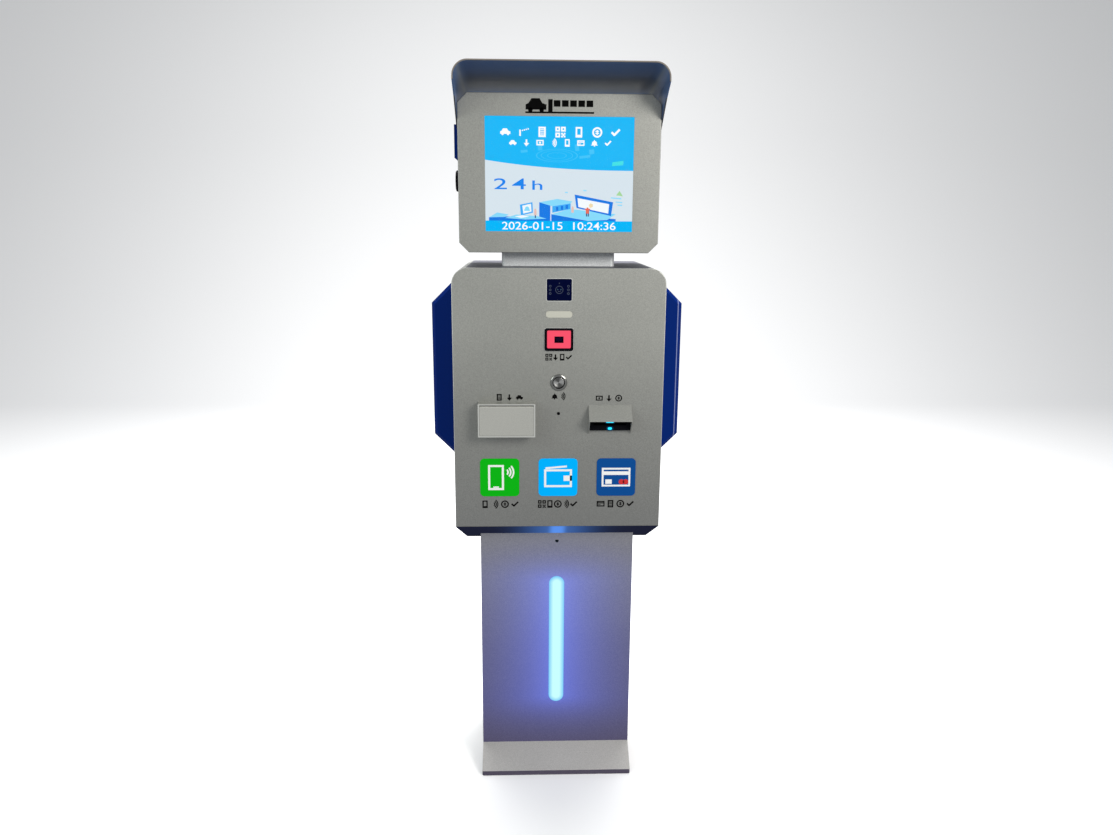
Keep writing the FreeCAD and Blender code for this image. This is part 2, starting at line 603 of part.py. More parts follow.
def cabinet_outline(inset, low):
    """The cabinet seen from the front: square below, rounded at the two upper corners."""
    half = f"cab_w/2 - ({inset})"
    top = f"cab_top - ({inset})"
    radius = f"cab_corner - ({inset})"

    def draw(drawing):
        arcs = []
        for side, start in ((1, 0), (-1, math.pi / 2)):
            arc_x = f"({side})*(({half}) - ({radius}))"
            arc_y = f"({top}) - ({radius})"
            centre = FreeCAD.Vector(value(arc_x), value(arc_y), 0)
            ring = Part.Circle(centre, FreeCAD.Vector(0, 0, 1), value(radius))
            arc = drawing.addGeometry(Part.ArcOfCircle(ring, start, start + math.pi / 2))
            pin_point(drawing, arc, 3, arc_x, arc_y)
            index = drawing.addConstraint(Sketcher.Constraint("Radius", arc, value(radius)))
            drawing.setExpression(f"Constraints[{index}]", bound(radius))
            arcs.append(arc)
        right, left = arcs
        feet = [FreeCAD.Vector(side * value(half), value(low), 0) for side in (-1, 1)]
        roof = drawing.addGeometry(
            Part.LineSegment(drawing.getPoint(right, 2), drawing.getPoint(left, 1)))
        left_wall = drawing.addGeometry(Part.LineSegment(drawing.getPoint(left, 2), feet[0]))
        floor = drawing.addGeometry(Part.LineSegment(feet[0], feet[1]))
        right_wall = drawing.addGeometry(Part.LineSegment(feet[1], drawing.getPoint(right, 1)))
        drawing.addConstraint([
            Sketcher.Constraint("Tangent", right, 2, roof, 1),
            Sketcher.Constraint("Tangent", roof, 2, left, 1),
            Sketcher.Constraint("Tangent", left, 2, left_wall, 1),
            Sketcher.Constraint("Coincident", left_wall, 2, floor, 1),
            Sketcher.Constraint("Coincident", floor, 2, right_wall, 1),
            Sketcher.Constraint("Tangent", right_wall, 2, right, 1),
            Sketcher.Constraint("Horizontal", floor)])
        index = drawing.addConstraint(Sketcher.Constraint("DistanceY", -1, 1, floor, 1, value(low)))
        drawing.setExpression(f"Constraints[{index}]", bound(low))
    return draw


def cabinet_shell():
    """Wrapped sheet with a flanged opening behind and the neck's opening in its roof."""
    shell = body("cabinet_shell")
    front = "cab_front + panel_t"
    add(shell, "XZ", front, "cab_rear", cabinet_outline("0", "cab_low"))
    cut(shell, "XZ", front, "cab_rear - sheet", cabinet_outline("sheet", "cab_low"))
    cut(shell, "XZ", "cab_rear - sheet", "cab_rear",
        rounded("0", "(cab_low + cab_top)/2", "cab_w - 2*rear_flange",
                "cab_top - cab_low - 2*rear_flange", "window_corner"))
    cut(shell, "XY", "cab_top - sheet", "cab_top",
        rounded("0", "neck_front + neck_d/2", "neck_w - 2*neck_wall - 2*neck_lip",
                "neck_d - 2*neck_wall - 2*neck_lip", "window_corner"))
    keep(shell)


def front_panel():
    """Front plate with the openings of everything that the customer sees, reads or touches."""
    panel = body("front_panel")
    back = "cab_front + panel_t"
    blank = add(panel, "XZ", "cab_front", back, cabinet_outline("0", "cab_low"))
    face = value("cab_front")
    soften(panel, blank, "Fillet", "panel_edge", lambda box: flat_at(box, "Y", face))
    ticket_mid = "(ticket_hole_low + ticket_hole_high)/2"
    note_mid = "(note_hole_low + note_hole_high)/2"
    cut(panel, "XZ", "cab_front", back,
        rounded("0", "cam_mid", "cam_w", "cam_z", "cam_corner"),
        pill("0", "bar_mid", "bar_w", "bar_z"),
        rounded("0", "scan_mid", "scan_w - scan_rim", "scan_z - scan_rim", "scan_corner - scan_wall"),
        circle("0", "help_z", "help_barrel_rad + screw_play"),
        circle("0", "mic_z", "mic_hole_rad"),
        rounded("ticket_x", ticket_mid, "ticket_hole_w", "ticket_hole_high - ticket_hole_low", "sheet"),
        rounded("note_x", note_mid, "note_hole_w", "note_hole_high - note_hole_low", "sheet"))
    keep(panel)


def side_wing(name, side):
    """Folded side pod with 45 degree shoulders and a bevel round its front edge."""
    wing = body(name)
    foot = f"({side})*cab_w/2"
    crest = f"({side})*(cab_w/2 + wing_out)"
    back = "wing_front + wing_d"
    blank = add(wing, "XZ", "wing_front", back, polygon(
        (foot, "wing_low - wing_out"), (crest, "wing_low"), (crest, "wing_high"),
        (foot, "wing_high + wing_out")))
    face = value("wing_front")
    wall = value(foot)
    bevel = soften(
        wing, blank, "Chamfer", "wing_bevel",
        lambda box: flat_at(box, "Y", face) and not flat_at(box, "X", wall))
    doc.recompute()
    inside = [f"Face{place}" for place, side_face in enumerate(bevel.Shape.Faces, start=1)
              if flat_at(side_face.BoundBox, "X", wall)]
    hollow = wing.newObject("PartDesign::Thickness", f"{name}_hollow")
    hollow.Base = (bevel, inside)
    hollow.Reversed = True
    hollow.Join = 1
    hollow.setExpression("Value", bound("sheet"))
    keep(wing)


# ---------------------------------------------------------------- neck and head
SHELL_LOW = "head_low + bezel_t"
SHELL_HIGH = "head_high - bezel_t"
SHELL_W = "head_w - 2*bezel_t - 2*head_play"
GLASS_FRONT = "head_front + bezel_t"
DISPLAY_FRONT = "head_front + bezel_t + glass_t"
DISPLAY_BACK = "head_front + bezel_t + glass_t + display_t"


def neck():
    """Short square tube between the cabinet's roof and the head, with the harness inside."""
    tube = body("neck")
    middle = "neck_front + neck_d/2"
    add(tube, "XY", "cab_top", SHELL_LOW, rounded("0", middle, "neck_w", "neck_d", "neck_corner"))
    cut(tube, "XY", "cab_top", SHELL_LOW,
        rounded("0", middle, "neck_w - 2*neck_wall", "neck_d - 2*neck_wall",
                "neck_corner - neck_wall"))
    keep(tube)


def head_shell():
    """Head housing, open in front for the display, with a flanged opening behind."""
    shell = body("head_shell")
    front = f"{GLASS_FRONT} + head_play"
    inner_w = f"{SHELL_W} - 2*sheet"
    add(shell, "XZ", front, "head_back", chamfered(SHELL_W, SHELL_LOW, SHELL_HIGH, "head_cut"))
    cut(shell, "XZ", front, "head_back - sheet",
        chamfered(inner_w, f"{SHELL_LOW} + sheet", f"({SHELL_HIGH} - sheet)", "head_cut - sheet"))
    cut(shell, "XZ", "head_back - sheet", "head_back",
        rounded("0", "(head_low + head_high)/2", f"{SHELL_W} - 2*rear_flange",
                f"{SHELL_HIGH} - ({SHELL_LOW}) - 2*rear_flange", "window_corner"))
    cut(shell, "XY", SHELL_LOW, f"{SHELL_LOW} + sheet",
        rounded("0", "neck_front + neck_d/2", "neck_w - 2*neck_wall - 2*neck_lip",
                "neck_d - 2*neck_wall - 2*neck_lip", "window_corner"))
    keep(shell)


def head_bezel():
    """Front frame that caps the head's housing, with cut corners and the screen's opening."""
    bezel = body("head_bezel")
    blank = add(bezel, "XZ", "head_front", "head_front + bezel_rim",
                chamfered("head_w", "head_low", "head_high", "head_cut"))
    face = value("head_front")
    soften(bezel, blank, "Fillet", "bezel_edge", lambda box: flat_at(box, "Y", face))
    cut(bezel, "XZ", GLASS_FRONT, "head_front + bezel_rim",
        chamfered("head_w - 2*bezel_t", SHELL_LOW, f"({SHELL_HIGH})", "head_cut - head_play"))
    cut(bezel, "XZ", "head_front", GLASS_FRONT,
        rounded("0", "screen_mid", "screen_w", "screen_z", "edge_rad"))
    keep(bezel)


def display():
    """Cover glass, and behind it the flat panel module with its ears and driver box."""
    glass = body("display_glass")
    add(glass, "XZ", GLASS_FRONT, DISPLAY_FRONT,
        rounded("0", "screen_mid", "screen_w + 2*glass_lap", "screen_z + 2*glass_lap", "sheet"))
    panel = body("display_panel")
    add(panel, "XZ", DISPLAY_FRONT, DISPLAY_BACK,
        rounded("0", "screen_mid", "screen_w + 2*display_lap", "screen_z + 2*display_lap", "sheet"))
    add(panel, "XZ", DISPLAY_BACK, f"{DISPLAY_BACK} + sheet",
        rounded("0", "screen_mid", f"{SHELL_W} - 2*sheet", "ear_z", "edge_rad"))
    add(panel, "XZ", DISPLAY_BACK, f"{DISPLAY_BACK} + driver_t",
        rounded("0", "screen_mid", "driver_w", "driver_z", "sheet"))
    keep(glass, panel)


def hood_section(owner, level, top):
    """One inverted U of the hood, as a sketch."""
    outer = "hood_w/2"
    inner = "hood_w/2 - hood_t"
    low = "cheek_low - hood_t"

    def draw(drawing):
        arcs = []
        for radius, inset in (("hood_corner", "0"), ("hood_corner - hood_t", "hood_t")):
            for side, start in ((1, 0), (-1, math.pi / 2)):
                arc_x = f"({side})*(hood_w/2 - hood_corner)"
                arc_y = f"({top}) - hood_corner"
                centre = FreeCAD.Vector(value(arc_x), value(arc_y), 0)
                ring = Part.Circle(centre, FreeCAD.Vector(0, 0, 1), value(radius))
                arc = drawing.addGeometry(Part.ArcOfCircle(ring, start, start + math.pi / 2))
                pin_point(drawing, arc, 3, arc_x, arc_y)
                index = drawing.addConstraint(Sketcher.Constraint("Radius", arc, value(radius)))
                drawing.setExpression(f"Constraints[{index}]", bound(radius))
                arcs.append(arc)
        feet = [FreeCAD.Vector(value(x), value(low), 0)
                for x in (f"-({outer})", f"-({inner})", inner, outer)]

        def line(start, end):
            return drawing.addGeometry(Part.LineSegment(start, end))
        right, left, inner_right, inner_left = arcs
        roof = line(drawing.getPoint(right, 2), drawing.getPoint(left, 1))
        left_out = line(drawing.getPoint(left, 2), feet[0])
        left_foot = line(feet[0], feet[1])
        left_in = line(feet[1], drawing.getPoint(inner_left, 2))
        ceiling = line(drawing.getPoint(inner_left, 1), drawing.getPoint(inner_right, 2))
        right_in = line(drawing.getPoint(inner_right, 1), feet[2])
        right_foot = line(feet[2], feet[3])
        right_out = line(feet[3], drawing.getPoint(right, 1))
        drawing.addConstraint([
            Sketcher.Constraint("Tangent", right, 2, roof, 1),
            Sketcher.Constraint("Tangent", roof, 2, left, 1),
            Sketcher.Constraint("Tangent", left, 2, left_out, 1),
            Sketcher.Constraint("Coincident", left_out, 2, left_foot, 1),
            Sketcher.Constraint("Coincident", left_foot, 2, left_in, 1),
            Sketcher.Constraint("Tangent", left_in, 2, inner_left, 2),
            Sketcher.Constraint("Tangent", inner_left, 1, ceiling, 1),
            Sketcher.Constraint("Tangent", ceiling, 2, inner_right, 2),
            Sketcher.Constraint("Tangent", inner_right, 1, right_in, 1),
            Sketcher.Constraint("Coincident", right_in, 2, right_foot, 1),
            Sketcher.Constraint("Coincident", right_foot, 2, right_out, 1),
            Sketcher.Constraint("Tangent", right_out, 2, right, 1),
            Sketcher.Constraint("Horizontal", left_foot),
            Sketcher.Constraint("Horizontal", right_foot)])
        for foot in (left_foot, right_foot):
            index = drawing.addConstraint(
                Sketcher.Constraint("DistanceY", -1, 1, foot, 1, value(low)))
            drawing.setExpression(f"Constraints[{index}]", bound(low))
    return sketch(owner, "XZ", level, draw)


def hood_screw_places():
    """Two screws in each cheek, as (y, z)."""
    return [(y, "spacer_z") for y in ("spacer_front", "spacer_back")]


def hood():
    """Sun hood of bent sheet: a roof that falls to the rear between two cut cheeks."""
    visor = body("hood")
    roof = visor.newObject("PartDesign::AdditiveLoft", "hood_roof")
    roof.Profile = hood_section(visor, "hood_front", "hood_high")
    roof.Sections = [hood_section(visor, "hood_back", "hood_high - hood_drop")]
    roof.Ruled = True
    outside = "hood_front - sheet"
    behind = "hood_back + sheet"
    cut(visor, "YZ", "-hood_w", "hood_w", polygon(
        (outside, "cheek_front_low"), ("hood_front", "cheek_front_low"),
        ("cheek_mid_y", "cheek_mid_z"), ("cheek_low_y", "cheek_low"), (behind, "cheek_low"),
        (behind, "cheek_low - 2*hood_t"), (outside, "cheek_low - 2*hood_t")))
    cut(visor, "YZ", "-hood_w", "hood_w",
        *[circle(y, z, "screw_rad + screw_play") for y, z in hood_screw_places()])
    screws = []
    for side in SIDES:
        for place in hood_screw_places():
            levels = (f"({SHELL_W})/2", "hood_w/2 - hood_t", "hood_w/2", "hood_w/2 + screw_head_t")
            radii = ("spacer_rad", "screw_rad", "screw_head_rad")
            lengths = [rod("X", *sorted((f"({side})*({near})", f"({side})*({far})"), key=value),
                           place, radius)
                       for near, far, radius in zip(levels, levels[1:], radii)]
            screws.append(joined("hood_screw", *lengths))
    keep(visor, group("hood_screws", *screws))


def hood_brackets():
    """A clamp each side: its foot is on the head, its upper end outside the hood's cheek."""
    made = []
    for side in SIDES:
        clamp = body("hood_bracket")
        wall = f"({side})*({SHELL_W})/2"
        lap = f"({side})*(hood_w/2 + bracket_gap)"
        out = f"({side})*bracket_out"
        add(clamp, "XZ", "bracket_y - bracket_d/2", "bracket_y + bracket_d/2", polygon(
            (wall, "bracket_low"), (lap, "bracket_low"), (out, "bracket_low + bracket_taper"),
            (out, "bracket_high"), (lap, "bracket_high"), (lap, "cheek_low - bracket_gap"),
            (wall, "cheek_low - bracket_gap")))
        made.append(clamp)
    keep(group("hood_brackets", *made))


def vent_domes():
    """A round dished vent cover each side of the head."""
    made = []
    for side in SIDES:
        dome = body("vent_dome")
        wall = f"({side})*({SHELL_W})/2"
        out = f"({side})*dome_out"
        low, high = sorted((wall, out), key=value)
        blank = add(dome, "YZ", low, high, circle("bracket_y", "dome_z", "dome_rad"))
        crest = value(out)
        soften(dome, blank, "Fillet", "dome_edge", lambda box: flat_at(box, "X", crest))
        made.append(dome)
    keep(group("vent_domes", *made))


# ---------------------------------------------------------------- camera, light bar and scanner
PANEL_BACK = "cab_front + panel_t"


def camera():
    """Dark window set flush in the panel, and the module with its lens and six infrared lamps."""
    window = body("camera_window")
    add(window, "XZ", "cab_front", PANEL_BACK,
        rounded("0", "cam_mid", "cam_w - 2*fit_gap", "cam_z - 2*fit_gap", "cam_corner - fit_gap"))
    module = body("camera_module")
    floor = f"{PANEL_BACK} + lens_reach + sheet"
    add(module, "XZ", PANEL_BACK, f"{PANEL_BACK} + cam_body_t",
        rounded("0", "cam_mid", "cam_w + 2*cam_lap", "cam_z + 2*cam_lap", "cam_corner"))
    cut(module, "XZ", PANEL_BACK, floor,
        rounded("0", "cam_mid", "cam_w - cam_rim", "cam_z - cam_rim", "cam_corner"))
    add(module, "XZ", f"{floor} - lens_reach", floor, circle("0", "cam_mid", "lens_rad"))
    lamps = [circle(f"({side})*led_dx", f"cam_mid + ({row})*led_dz", "led_rad")
             for side in SIDES for row in (-1, 0, 1)]
    add(module, "XZ", f"{floor} - led_reach", floor, *lamps)
    keep(window, module)


def light_bar():
    """Pill-shaped call light: a lens with a flange behind the panel."""
    lens = body("light_bar_lens")
    lap = "bar_z + 2*bar_lap"
    add(lens, "XZ", "cab_front - bar_proud", PANEL_BACK,
        pill("0", "bar_mid", "bar_w - 2*fit_gap", "bar_z - 2*fit_gap"))
    add(lens, "XZ", PANEL_BACK, f"{PANEL_BACK} + bar_back",
        pill("0", "bar_mid", "bar_w + 2*bar_lap", lap))
    keep(lens)


def scanner():
    """Code scanner: black frame, clear window and the engine with its dark reading core."""
    frame = body("scanner_frame")
    sleeve_w = "scan_w - scan_rim - 2*fit_gap"
    sleeve_z = "scan_z - scan_rim - 2*fit_gap"
    sleeve_corner = "scan_corner - scan_wall - fit_gap"
    sleeve_back = f"{PANEL_BACK} + scan_sleeve"
    bore_w = f"{sleeve_w} - 2*scan_wall"
    bore_z = f"{sleeve_z} - 2*scan_wall"
    blank = add(frame, "XZ", "cab_front - scan_proud", "cab_front",
                rounded("0", "scan_mid", "scan_w", "scan_z", "scan_corner"))
    face = value("cab_front - scan_proud")
    soften(frame, blank, "Fillet", "panel_edge", lambda box: flat_at(box, "Y", face))
    add(frame, "XZ", "cab_front", sleeve_back,
        rounded("0", "scan_mid", sleeve_w, sleeve_z, sleeve_corner))
    cut(frame, "XZ", "cab_front - scan_proud", sleeve_back,
        rounded("0", "scan_mid", bore_w, bore_z, "edge_rad"))
    window = body("scanner_window")
    glass_front = "cab_front - scan_proud + scan_glass_in"
    add(window, "XZ", glass_front, f"{glass_front} + scan_glass_t",
        rounded("0", "scan_mid", f"{bore_w} - fit_gap/2", f"{bore_z} - fit_gap/2", "edge_rad"))
    engine = body("scanner_engine")
    add(engine, "XZ", sleeve_back, f"{sleeve_back} + scan_body_t",
        rounded("0", "scan_mid", "scan_w", "scan_z", "scan_corner"))
    add(engine, "XZ", f"{sleeve_back} - scan_core_t", sleeve_back,
        rounded("0", "scan_mid", "scan_core_w", "scan_core_z", "sheet"))
    keep(frame, window, engine)


# ---------------------------------------------------------------- help button and microphone
HELP_FRONT = "cab_front - help_ring_t"
CAP_FRONT = "cab_front - help_ring_t + help_cap_proud"
CAP_BACK = "cab_front - help_ring_t + help_cap_proud + help_cap_len"
BARREL_BACK = "cab_front + help_barrel_len"


def help_button():
    """Metal ring with a barrel through the panel; the cap slides in it against a coil spring."""
    ring = body("button_bezel")
    blank = add(ring, "XZ", HELP_FRONT, "cab_front", circle("0", "help_z", "help_ring_rad"))
    face = value(HELP_FRONT)
    soften(ring, blank, "Fillet", "panel_edge", lambda box: flat_at(box, "Y", face))
    add(ring, "XZ", "cab_front", BARREL_BACK, circle("0", "help_z", "help_barrel_rad"))
    cut(ring, "XZ", HELP_FRONT, BARREL_BACK, circle("0", "help_z", "help_cap_rad + help_run_gap"))
    cap = body("help_button")
    slug = add(cap, "XZ", CAP_FRONT, CAP_BACK, circle("0", "help_z", "help_cap_rad"))
    cap_face = value(CAP_FRONT)
    soften(cap, slug, "Chamfer", "help_dish", lambda box: flat_at(box, "Y", cap_face))
    cut(cap, "XZ", CAP_FRONT, f"{CAP_FRONT} + help_dish",
        circle("0", "help_z", "help_cap_rad - help_dish_edge"))
    add(cap, "XZ", CAP_BACK, f"{BARREL_BACK} - help_travel - fit_gap",
        circle("0", "help_z", "help_stem_rad"))
    switch = body("button_switch")
    switch_front = BARREL_BACK
    add(switch, "XZ", switch_front, f"{switch_front} + help_switch_t",
        circle("0", "help_z", "help_barrel_rad"))
    keep(ring, cap, switch)


def button_spring():
    """Coil spring between the cap's back and the switch, with flat ground ends."""
    wire = value("spring_wire")
    coil = value("spring_rad")
    end_gap = value("spring_end_gap")
    start = value(CAP_BACK) + wire + end_gap
    length = value(BARREL_BACK) - wire - end_gap - start
    helix = Part.makeHelix(length / value("spring_turns"), length, coil)
    profile = Part.Wire(Part.Edge(Part.Circle(
        FreeCAD.Vector(coil, 0, 0), FreeCAD.Vector(0, 1, 0), wire)))
    sweep = Part.Wire(helix.Edges).makePipeShell([profile], True, True)
    spring = doc.addObject("Part::Feature", "button_spring")
    spring.Label = "button_spring"
    spring.Shape = Part.Solid(sweep) if sweep.ShapeType != "Solid" else sweep
    spring.Placement = FreeCAD.Placement(
        FreeCAD.Vector(0, start, value("help_z")), TURNS["Y"])
    keep(spring)


def microphone():
    """Capsule behind the small sound hole."""
    capsule = body("microphone")
    add(capsule, "XZ", PANEL_BACK, f"{PANEL_BACK} + mic_t", circle("0", "mic_z", "mic_rad"))
    keep(capsule)


# ---------------------------------------------------------------- ticket outlet
TICKET_NOSE = "cab_front - ticket_out"
FLAP_Y = "cab_front - ticket_out + flap_pin_in"
FLAP_Z = "ticket_high - ticket_roof - flap_pin_drop"


def ticket_outlet():
    """Hood with two cheeks, a roof and a lip; the flap hangs in front on a pin through the cheeks."""
    case = body("ticket_hood")
    middle = "(ticket_low + ticket_high)/2"
    inner_w = "ticket_w - 2*ticket_cheek"
    inner_low = "ticket_low + ticket_lip"
    inner_high = "ticket_high - ticket_roof"
    add(case, "XZ", TICKET_NOSE, "cab_front",
        rounded("ticket_x", middle, "ticket_w", "ticket_high - ticket_low", "edge_rad"))
    cut(case, "XZ", TICKET_NOSE, "cab_front",
        rounded("ticket_x", f"({inner_low} + {inner_high})/2", inner_w,
                f"({inner_high}) - ({inner_low})", "fine_rad"))
    cut(case, "YZ", "ticket_x - ticket_w/2", "ticket_x + ticket_w/2",
        circle(FLAP_Y, FLAP_Z, "flap_pin_rad"))
    flap = body("ticket_flap")
    left = f"ticket_x - ({inner_w})/2 + flap_play"
    right = f"ticket_x + ({inner_w})/2 - flap_play"
    front = f"{FLAP_Y} - flap_knuckle"
    add(flap, "YZ", left, right, polygon(
        (front, f"{inner_low} + flap_play"), (f"{front} + flap_t", f"{inner_low} + flap_play"),
        (f"{front} + flap_t", f"{FLAP_Z} + flap_play"), (front, f"{FLAP_Z} + flap_play")))
    add(flap, "YZ", left, right, circle(FLAP_Y, FLAP_Z, "flap_knuckle"))
    cut(flap, "YZ", left, right, circle(FLAP_Y, FLAP_Z, "flap_pin_rad + flap_run_gap"))
    pin = body("ticket_flap_pin")
    add(pin, "YZ", "ticket_x - ticket_w/2", "ticket_x + ticket_w/2",
        circle(FLAP_Y, FLAP_Z, "flap_pin_rad"))
    keep(case, flap, pin)


# ---------------------------------------------------------------- banknote inlet
def note_inlet():
    """Pointed hood over the banknote mouth, and the validator that reaches through the panel."""
    visor = body("note_hood")
    nose = "cab_front - note_out"
    left = "note_x - note_w/2"
    right = "note_x + note_w/2"
    add(visor, "YZ", left, right, polygon(
        ("cab_front", "note_low"), ("cab_front", "note_high"), (nose, "note_tip_z"),
        (nose, "note_nose_z")))
    cut(visor, "YZ", f"{left} + note_cheek", f"{right} - note_cheek", polygon(
        ("cab_front", "note_low"), ("cab_front", "note_high - note_roof"),
        (nose, "note_tip_z - note_roof"), (nose, "note_nose_z - note_roof")))
    validator = body("note_validator")
    mouth_front = "cab_front - note_mouth_out"
    add(validator, "XZ", PANEL_BACK, f"{PANEL_BACK} + note_body_d",
        rounded("note_x", "(note_body_low + note_body_high)/2", "note_body_w",
                "note_body_high - note_body_low", "sheet"))
    add(validator, "XZ", mouth_front, PANEL_BACK,
        rounded("note_x", "(note_hole_low + note_hole_high)/2", "note_hole_w - 2*fit_gap",
                "note_hole_high - note_hole_low - 2*fit_gap", "sheet"))
    cut(validator, "XZ", mouth_front, f"{PANEL_BACK} + note_slot_run",
        rounded("note_x", "note_slot_mid", "note_slot_w", "note_slot_z", "edge_rad"))
    keep(visor, validator)


def cash_box():
    """Locked note box on two rails of a shelf; it slides to the rear."""
    shelf = body("cash_shelf")
    shelf_left = "note_x - box_w/2 - shelf_side"
    shelf_right = "cab_w/2 - sheet"
    shelf_low = "box_low - shelf_t"
    rail_in = "note_x - box_w/2 - fit_gap"
    rail_out = "note_x + box_w/2 + fit_gap"
    add(shelf, "XZ", "box_front", "box_rear", polygon(
        (shelf_left, shelf_low), (shelf_right, shelf_low), (shelf_right, "box_low + rail_z"),
        (rail_out, "box_low + rail_z"), (rail_out, "box_low"), (rail_in, "box_low"),
        (rail_in, "box_low + rail_z"), (shelf_left, "box_low + rail_z")))
    store = body("cash_box")
    top = "box_low + box_z"
    add(store, "XY", "box_low + box_float", top,
        rounded("note_x", "(box_front + box_rear)/2", "box_w", "box_d", "sheet"))
    cut(store, "XY", "box_low + box_float + box_wall", f"{top} - box_wall",
        rounded("note_x", "(box_front + box_rear)/2", "box_w - 2*box_wall",
                "box_d - 2*box_wall", "edge_rad"))
    cut(store, "XY", f"{top} - box_wall", top,
        rounded("note_x", "box_front + box_slot_in", "note_slot_w", "box_slot_d", "edge_rad"))
    add(store, "XZ", "box_rear", "box_rear + box_grip_out",
        rounded("note_x", "box_low + box_z/2", "box_grip_w", "box_grip_z", "sheet"))
    keep(shelf, store)


# ---------------------------------------------------------------- payment plates
def payment_badges():
    """Three raised plates that carry the payment signs."""
    plates = []
    for place in (-1, 0, 1):
        plate = body("payment_badge")
        add(plate, "XZ", "cab_front - badge_t", "cab_front",
            rounded(f"({place})*badge_pitch", "badge_mid", "badge_w", "badge_w", "badge_corner"))
        plates.append(plate)
    keep(group("payment_badges", *plates))


# ---------------------------------------------------------------- ticket printer
def ticket_printer():
    """Printer body behind the outlet, its platen roller, and the paper roll on a forked holder."""
    front = f"{PANEL_BACK} + print_gap"
    back = f"{PANEL_BACK} + print_gap + print_d"
    printer = body("ticket_printer")
    left = "ticket_x - print_w/2"
    right = "ticket_x + print_w/2"
    add(printer, "YZ", left, right, polygon(
        (front, "print_low"), (back, "print_low"), (back, "print_high"), (front, "print_high")))
    room = "platen_rad + platen_room"
    cut(printer, "YZ", "ticket_x - platen_len/2 - platen_room",
        "ticket_x + platen_len/2 + platen_room", polygon(
            (f"platen_y - ({room})", f"platen_z - ({room})"),
            (f"platen_y + {room}", f"platen_z - ({room})"),
            (f"platen_y + {room}", "print_high"), (f"platen_y - ({room})", "print_high")))
    cut(printer, "YZ", left, right, circle("platen_y", "platen_z", "platen_axle + run_gap"))
    cut(printer, "XZ", front, f"platen_y - ({room})",
        rounded("ticket_x", "(print_slot_low + print_slot_high)/2", "print_slot_w",
                "print_slot_high - print_slot_low", "fine_rad"))
    platen = body("platen_roller")
    add(platen, "YZ", "ticket_x - platen_len/2", "ticket_x + platen_len/2",
        circle("platen_y", "platen_z", "platen_rad"))
    add(platen, "YZ", left, right, circle("platen_y", "platen_z", "platen_axle"))
    roll = body("paper_roll")
    add(roll, "YZ", "ticket_x - roll_len/2", "ticket_x + roll_len/2",
        circle("roll_y", "roll_z", "roll_rad"))
    cut(roll, "YZ", "ticket_x - roll_len/2", "ticket_x + roll_len/2",
        circle("roll_y", "roll_z", "roll_core + run_gap"))
    keep(printer, platen, roll)


def roll_holder():
    """Fork with a spindle that carries the paper roll above the printer, on a bracket of its own."""
    arm_in = "roll_len/2 + roll_side_gap"
    arm_out = "roll_len/2 + roll_side_gap + holder_t"
    printer_back = f"{PANEL_BACK} + print_gap + print_d"
    foot_y = ("roll_y - holder_d/2", "roll_y + holder_d/2")
    arms = [block((f"ticket_x + min(({side})*({arm_in}); ({side})*({arm_out}))",
                   f"ticket_x + max(({side})*({arm_in}); ({side})*({arm_out}))"),
                  foot_y, ("print_low", "roll_z + roll_core")) for side in SIDES]
    floor = block((f"ticket_x - ({arm_out})", f"ticket_x + {arm_out}"),
                  (printer_back, "roll_y + holder_d/2"), ("print_low", "print_low + holder_t"))
    spindle = rod("X", f"ticket_x - ({arm_out})", f"ticket_x + {arm_out}", ("roll_y", "roll_z"),
                  "roll_core")
    brace = block((f"ticket_x - ({arm_out})", f"ticket_x + {arm_out}"),
                  ("roll_y + holder_d/2", "plate_y"), ("print_low", "print_low + holder_t"))
    keep(joined("roll_holder", *arms, floor, brace, spindle))


# ---------------------------------------------------------------- equipment plate
def equipment():
    """Plate welded to the cabinet's left wall, with the controller and the power supply behind."""
    rear = "plate_y + plate_t"
    plate = body("equipment_plate")
    add(plate, "XZ", "plate_y", rear,
        rounded("(plate_left + plate_right)/2", "(plate_low + plate_high)/2",
                "plate_right - plate_left", "plate_high - plate_low", "edge_rad"))
    keep(plate)
    for name, short in (("controller", "ctrl"), ("power_supply", "psu")):
        unit = body(name)
        add(unit, "XZ", rear, f"{rear} + {short}_t",
            rounded(f"{short}_x", f"{short}_mid", f"{short}_w", f"{short}_z", "sheet"))
        keep(unit)


def circuit_breaker():
    """Main breaker with its rocking lever."""
    rear = "plate_y + plate_t"
    face = f"{rear} + brk_t"
    case = body("circuit_breaker")
    add(case, "XZ", rear, face, rounded("brk_x", "brk_mid", "brk_w", "brk_z", "sheet"))
    cut(case, "XZ", f"{face} - brk_slot_d", face,
        rounded("brk_x", "brk_mid", "brk_slot_w", "brk_slot_z", "edge_rad"))
    axle_y = f"{face} - brk_slot_d/2"
    cut(case, "YZ", "brk_x - brk_w/2", "brk_x + brk_w/2",
        circle(axle_y, "brk_mid", "lever_axle + run_gap"))
    lever = body("breaker_lever")
    half = "lever_w/2"
    add(lever, "YZ", f"brk_x - {half}", f"brk_x + {half}", circle(axle_y, "brk_mid", "lever_rad"))
    add(lever, "YZ", f"brk_x - {half}", f"brk_x + {half}", polygon(
        (axle_y, "brk_mid - lever_t/2"), (f"{axle_y} + lever_len", "brk_mid - lever_t/2"),
        (f"{axle_y} + lever_len", "brk_mid + lever_t/2"), (axle_y, "brk_mid + lever_t/2")))
    add(lever, "YZ", "brk_x - brk_w/2", "brk_x + brk_w/2", circle(axle_y, "brk_mid", "lever_axle"))
    keep(case, lever)


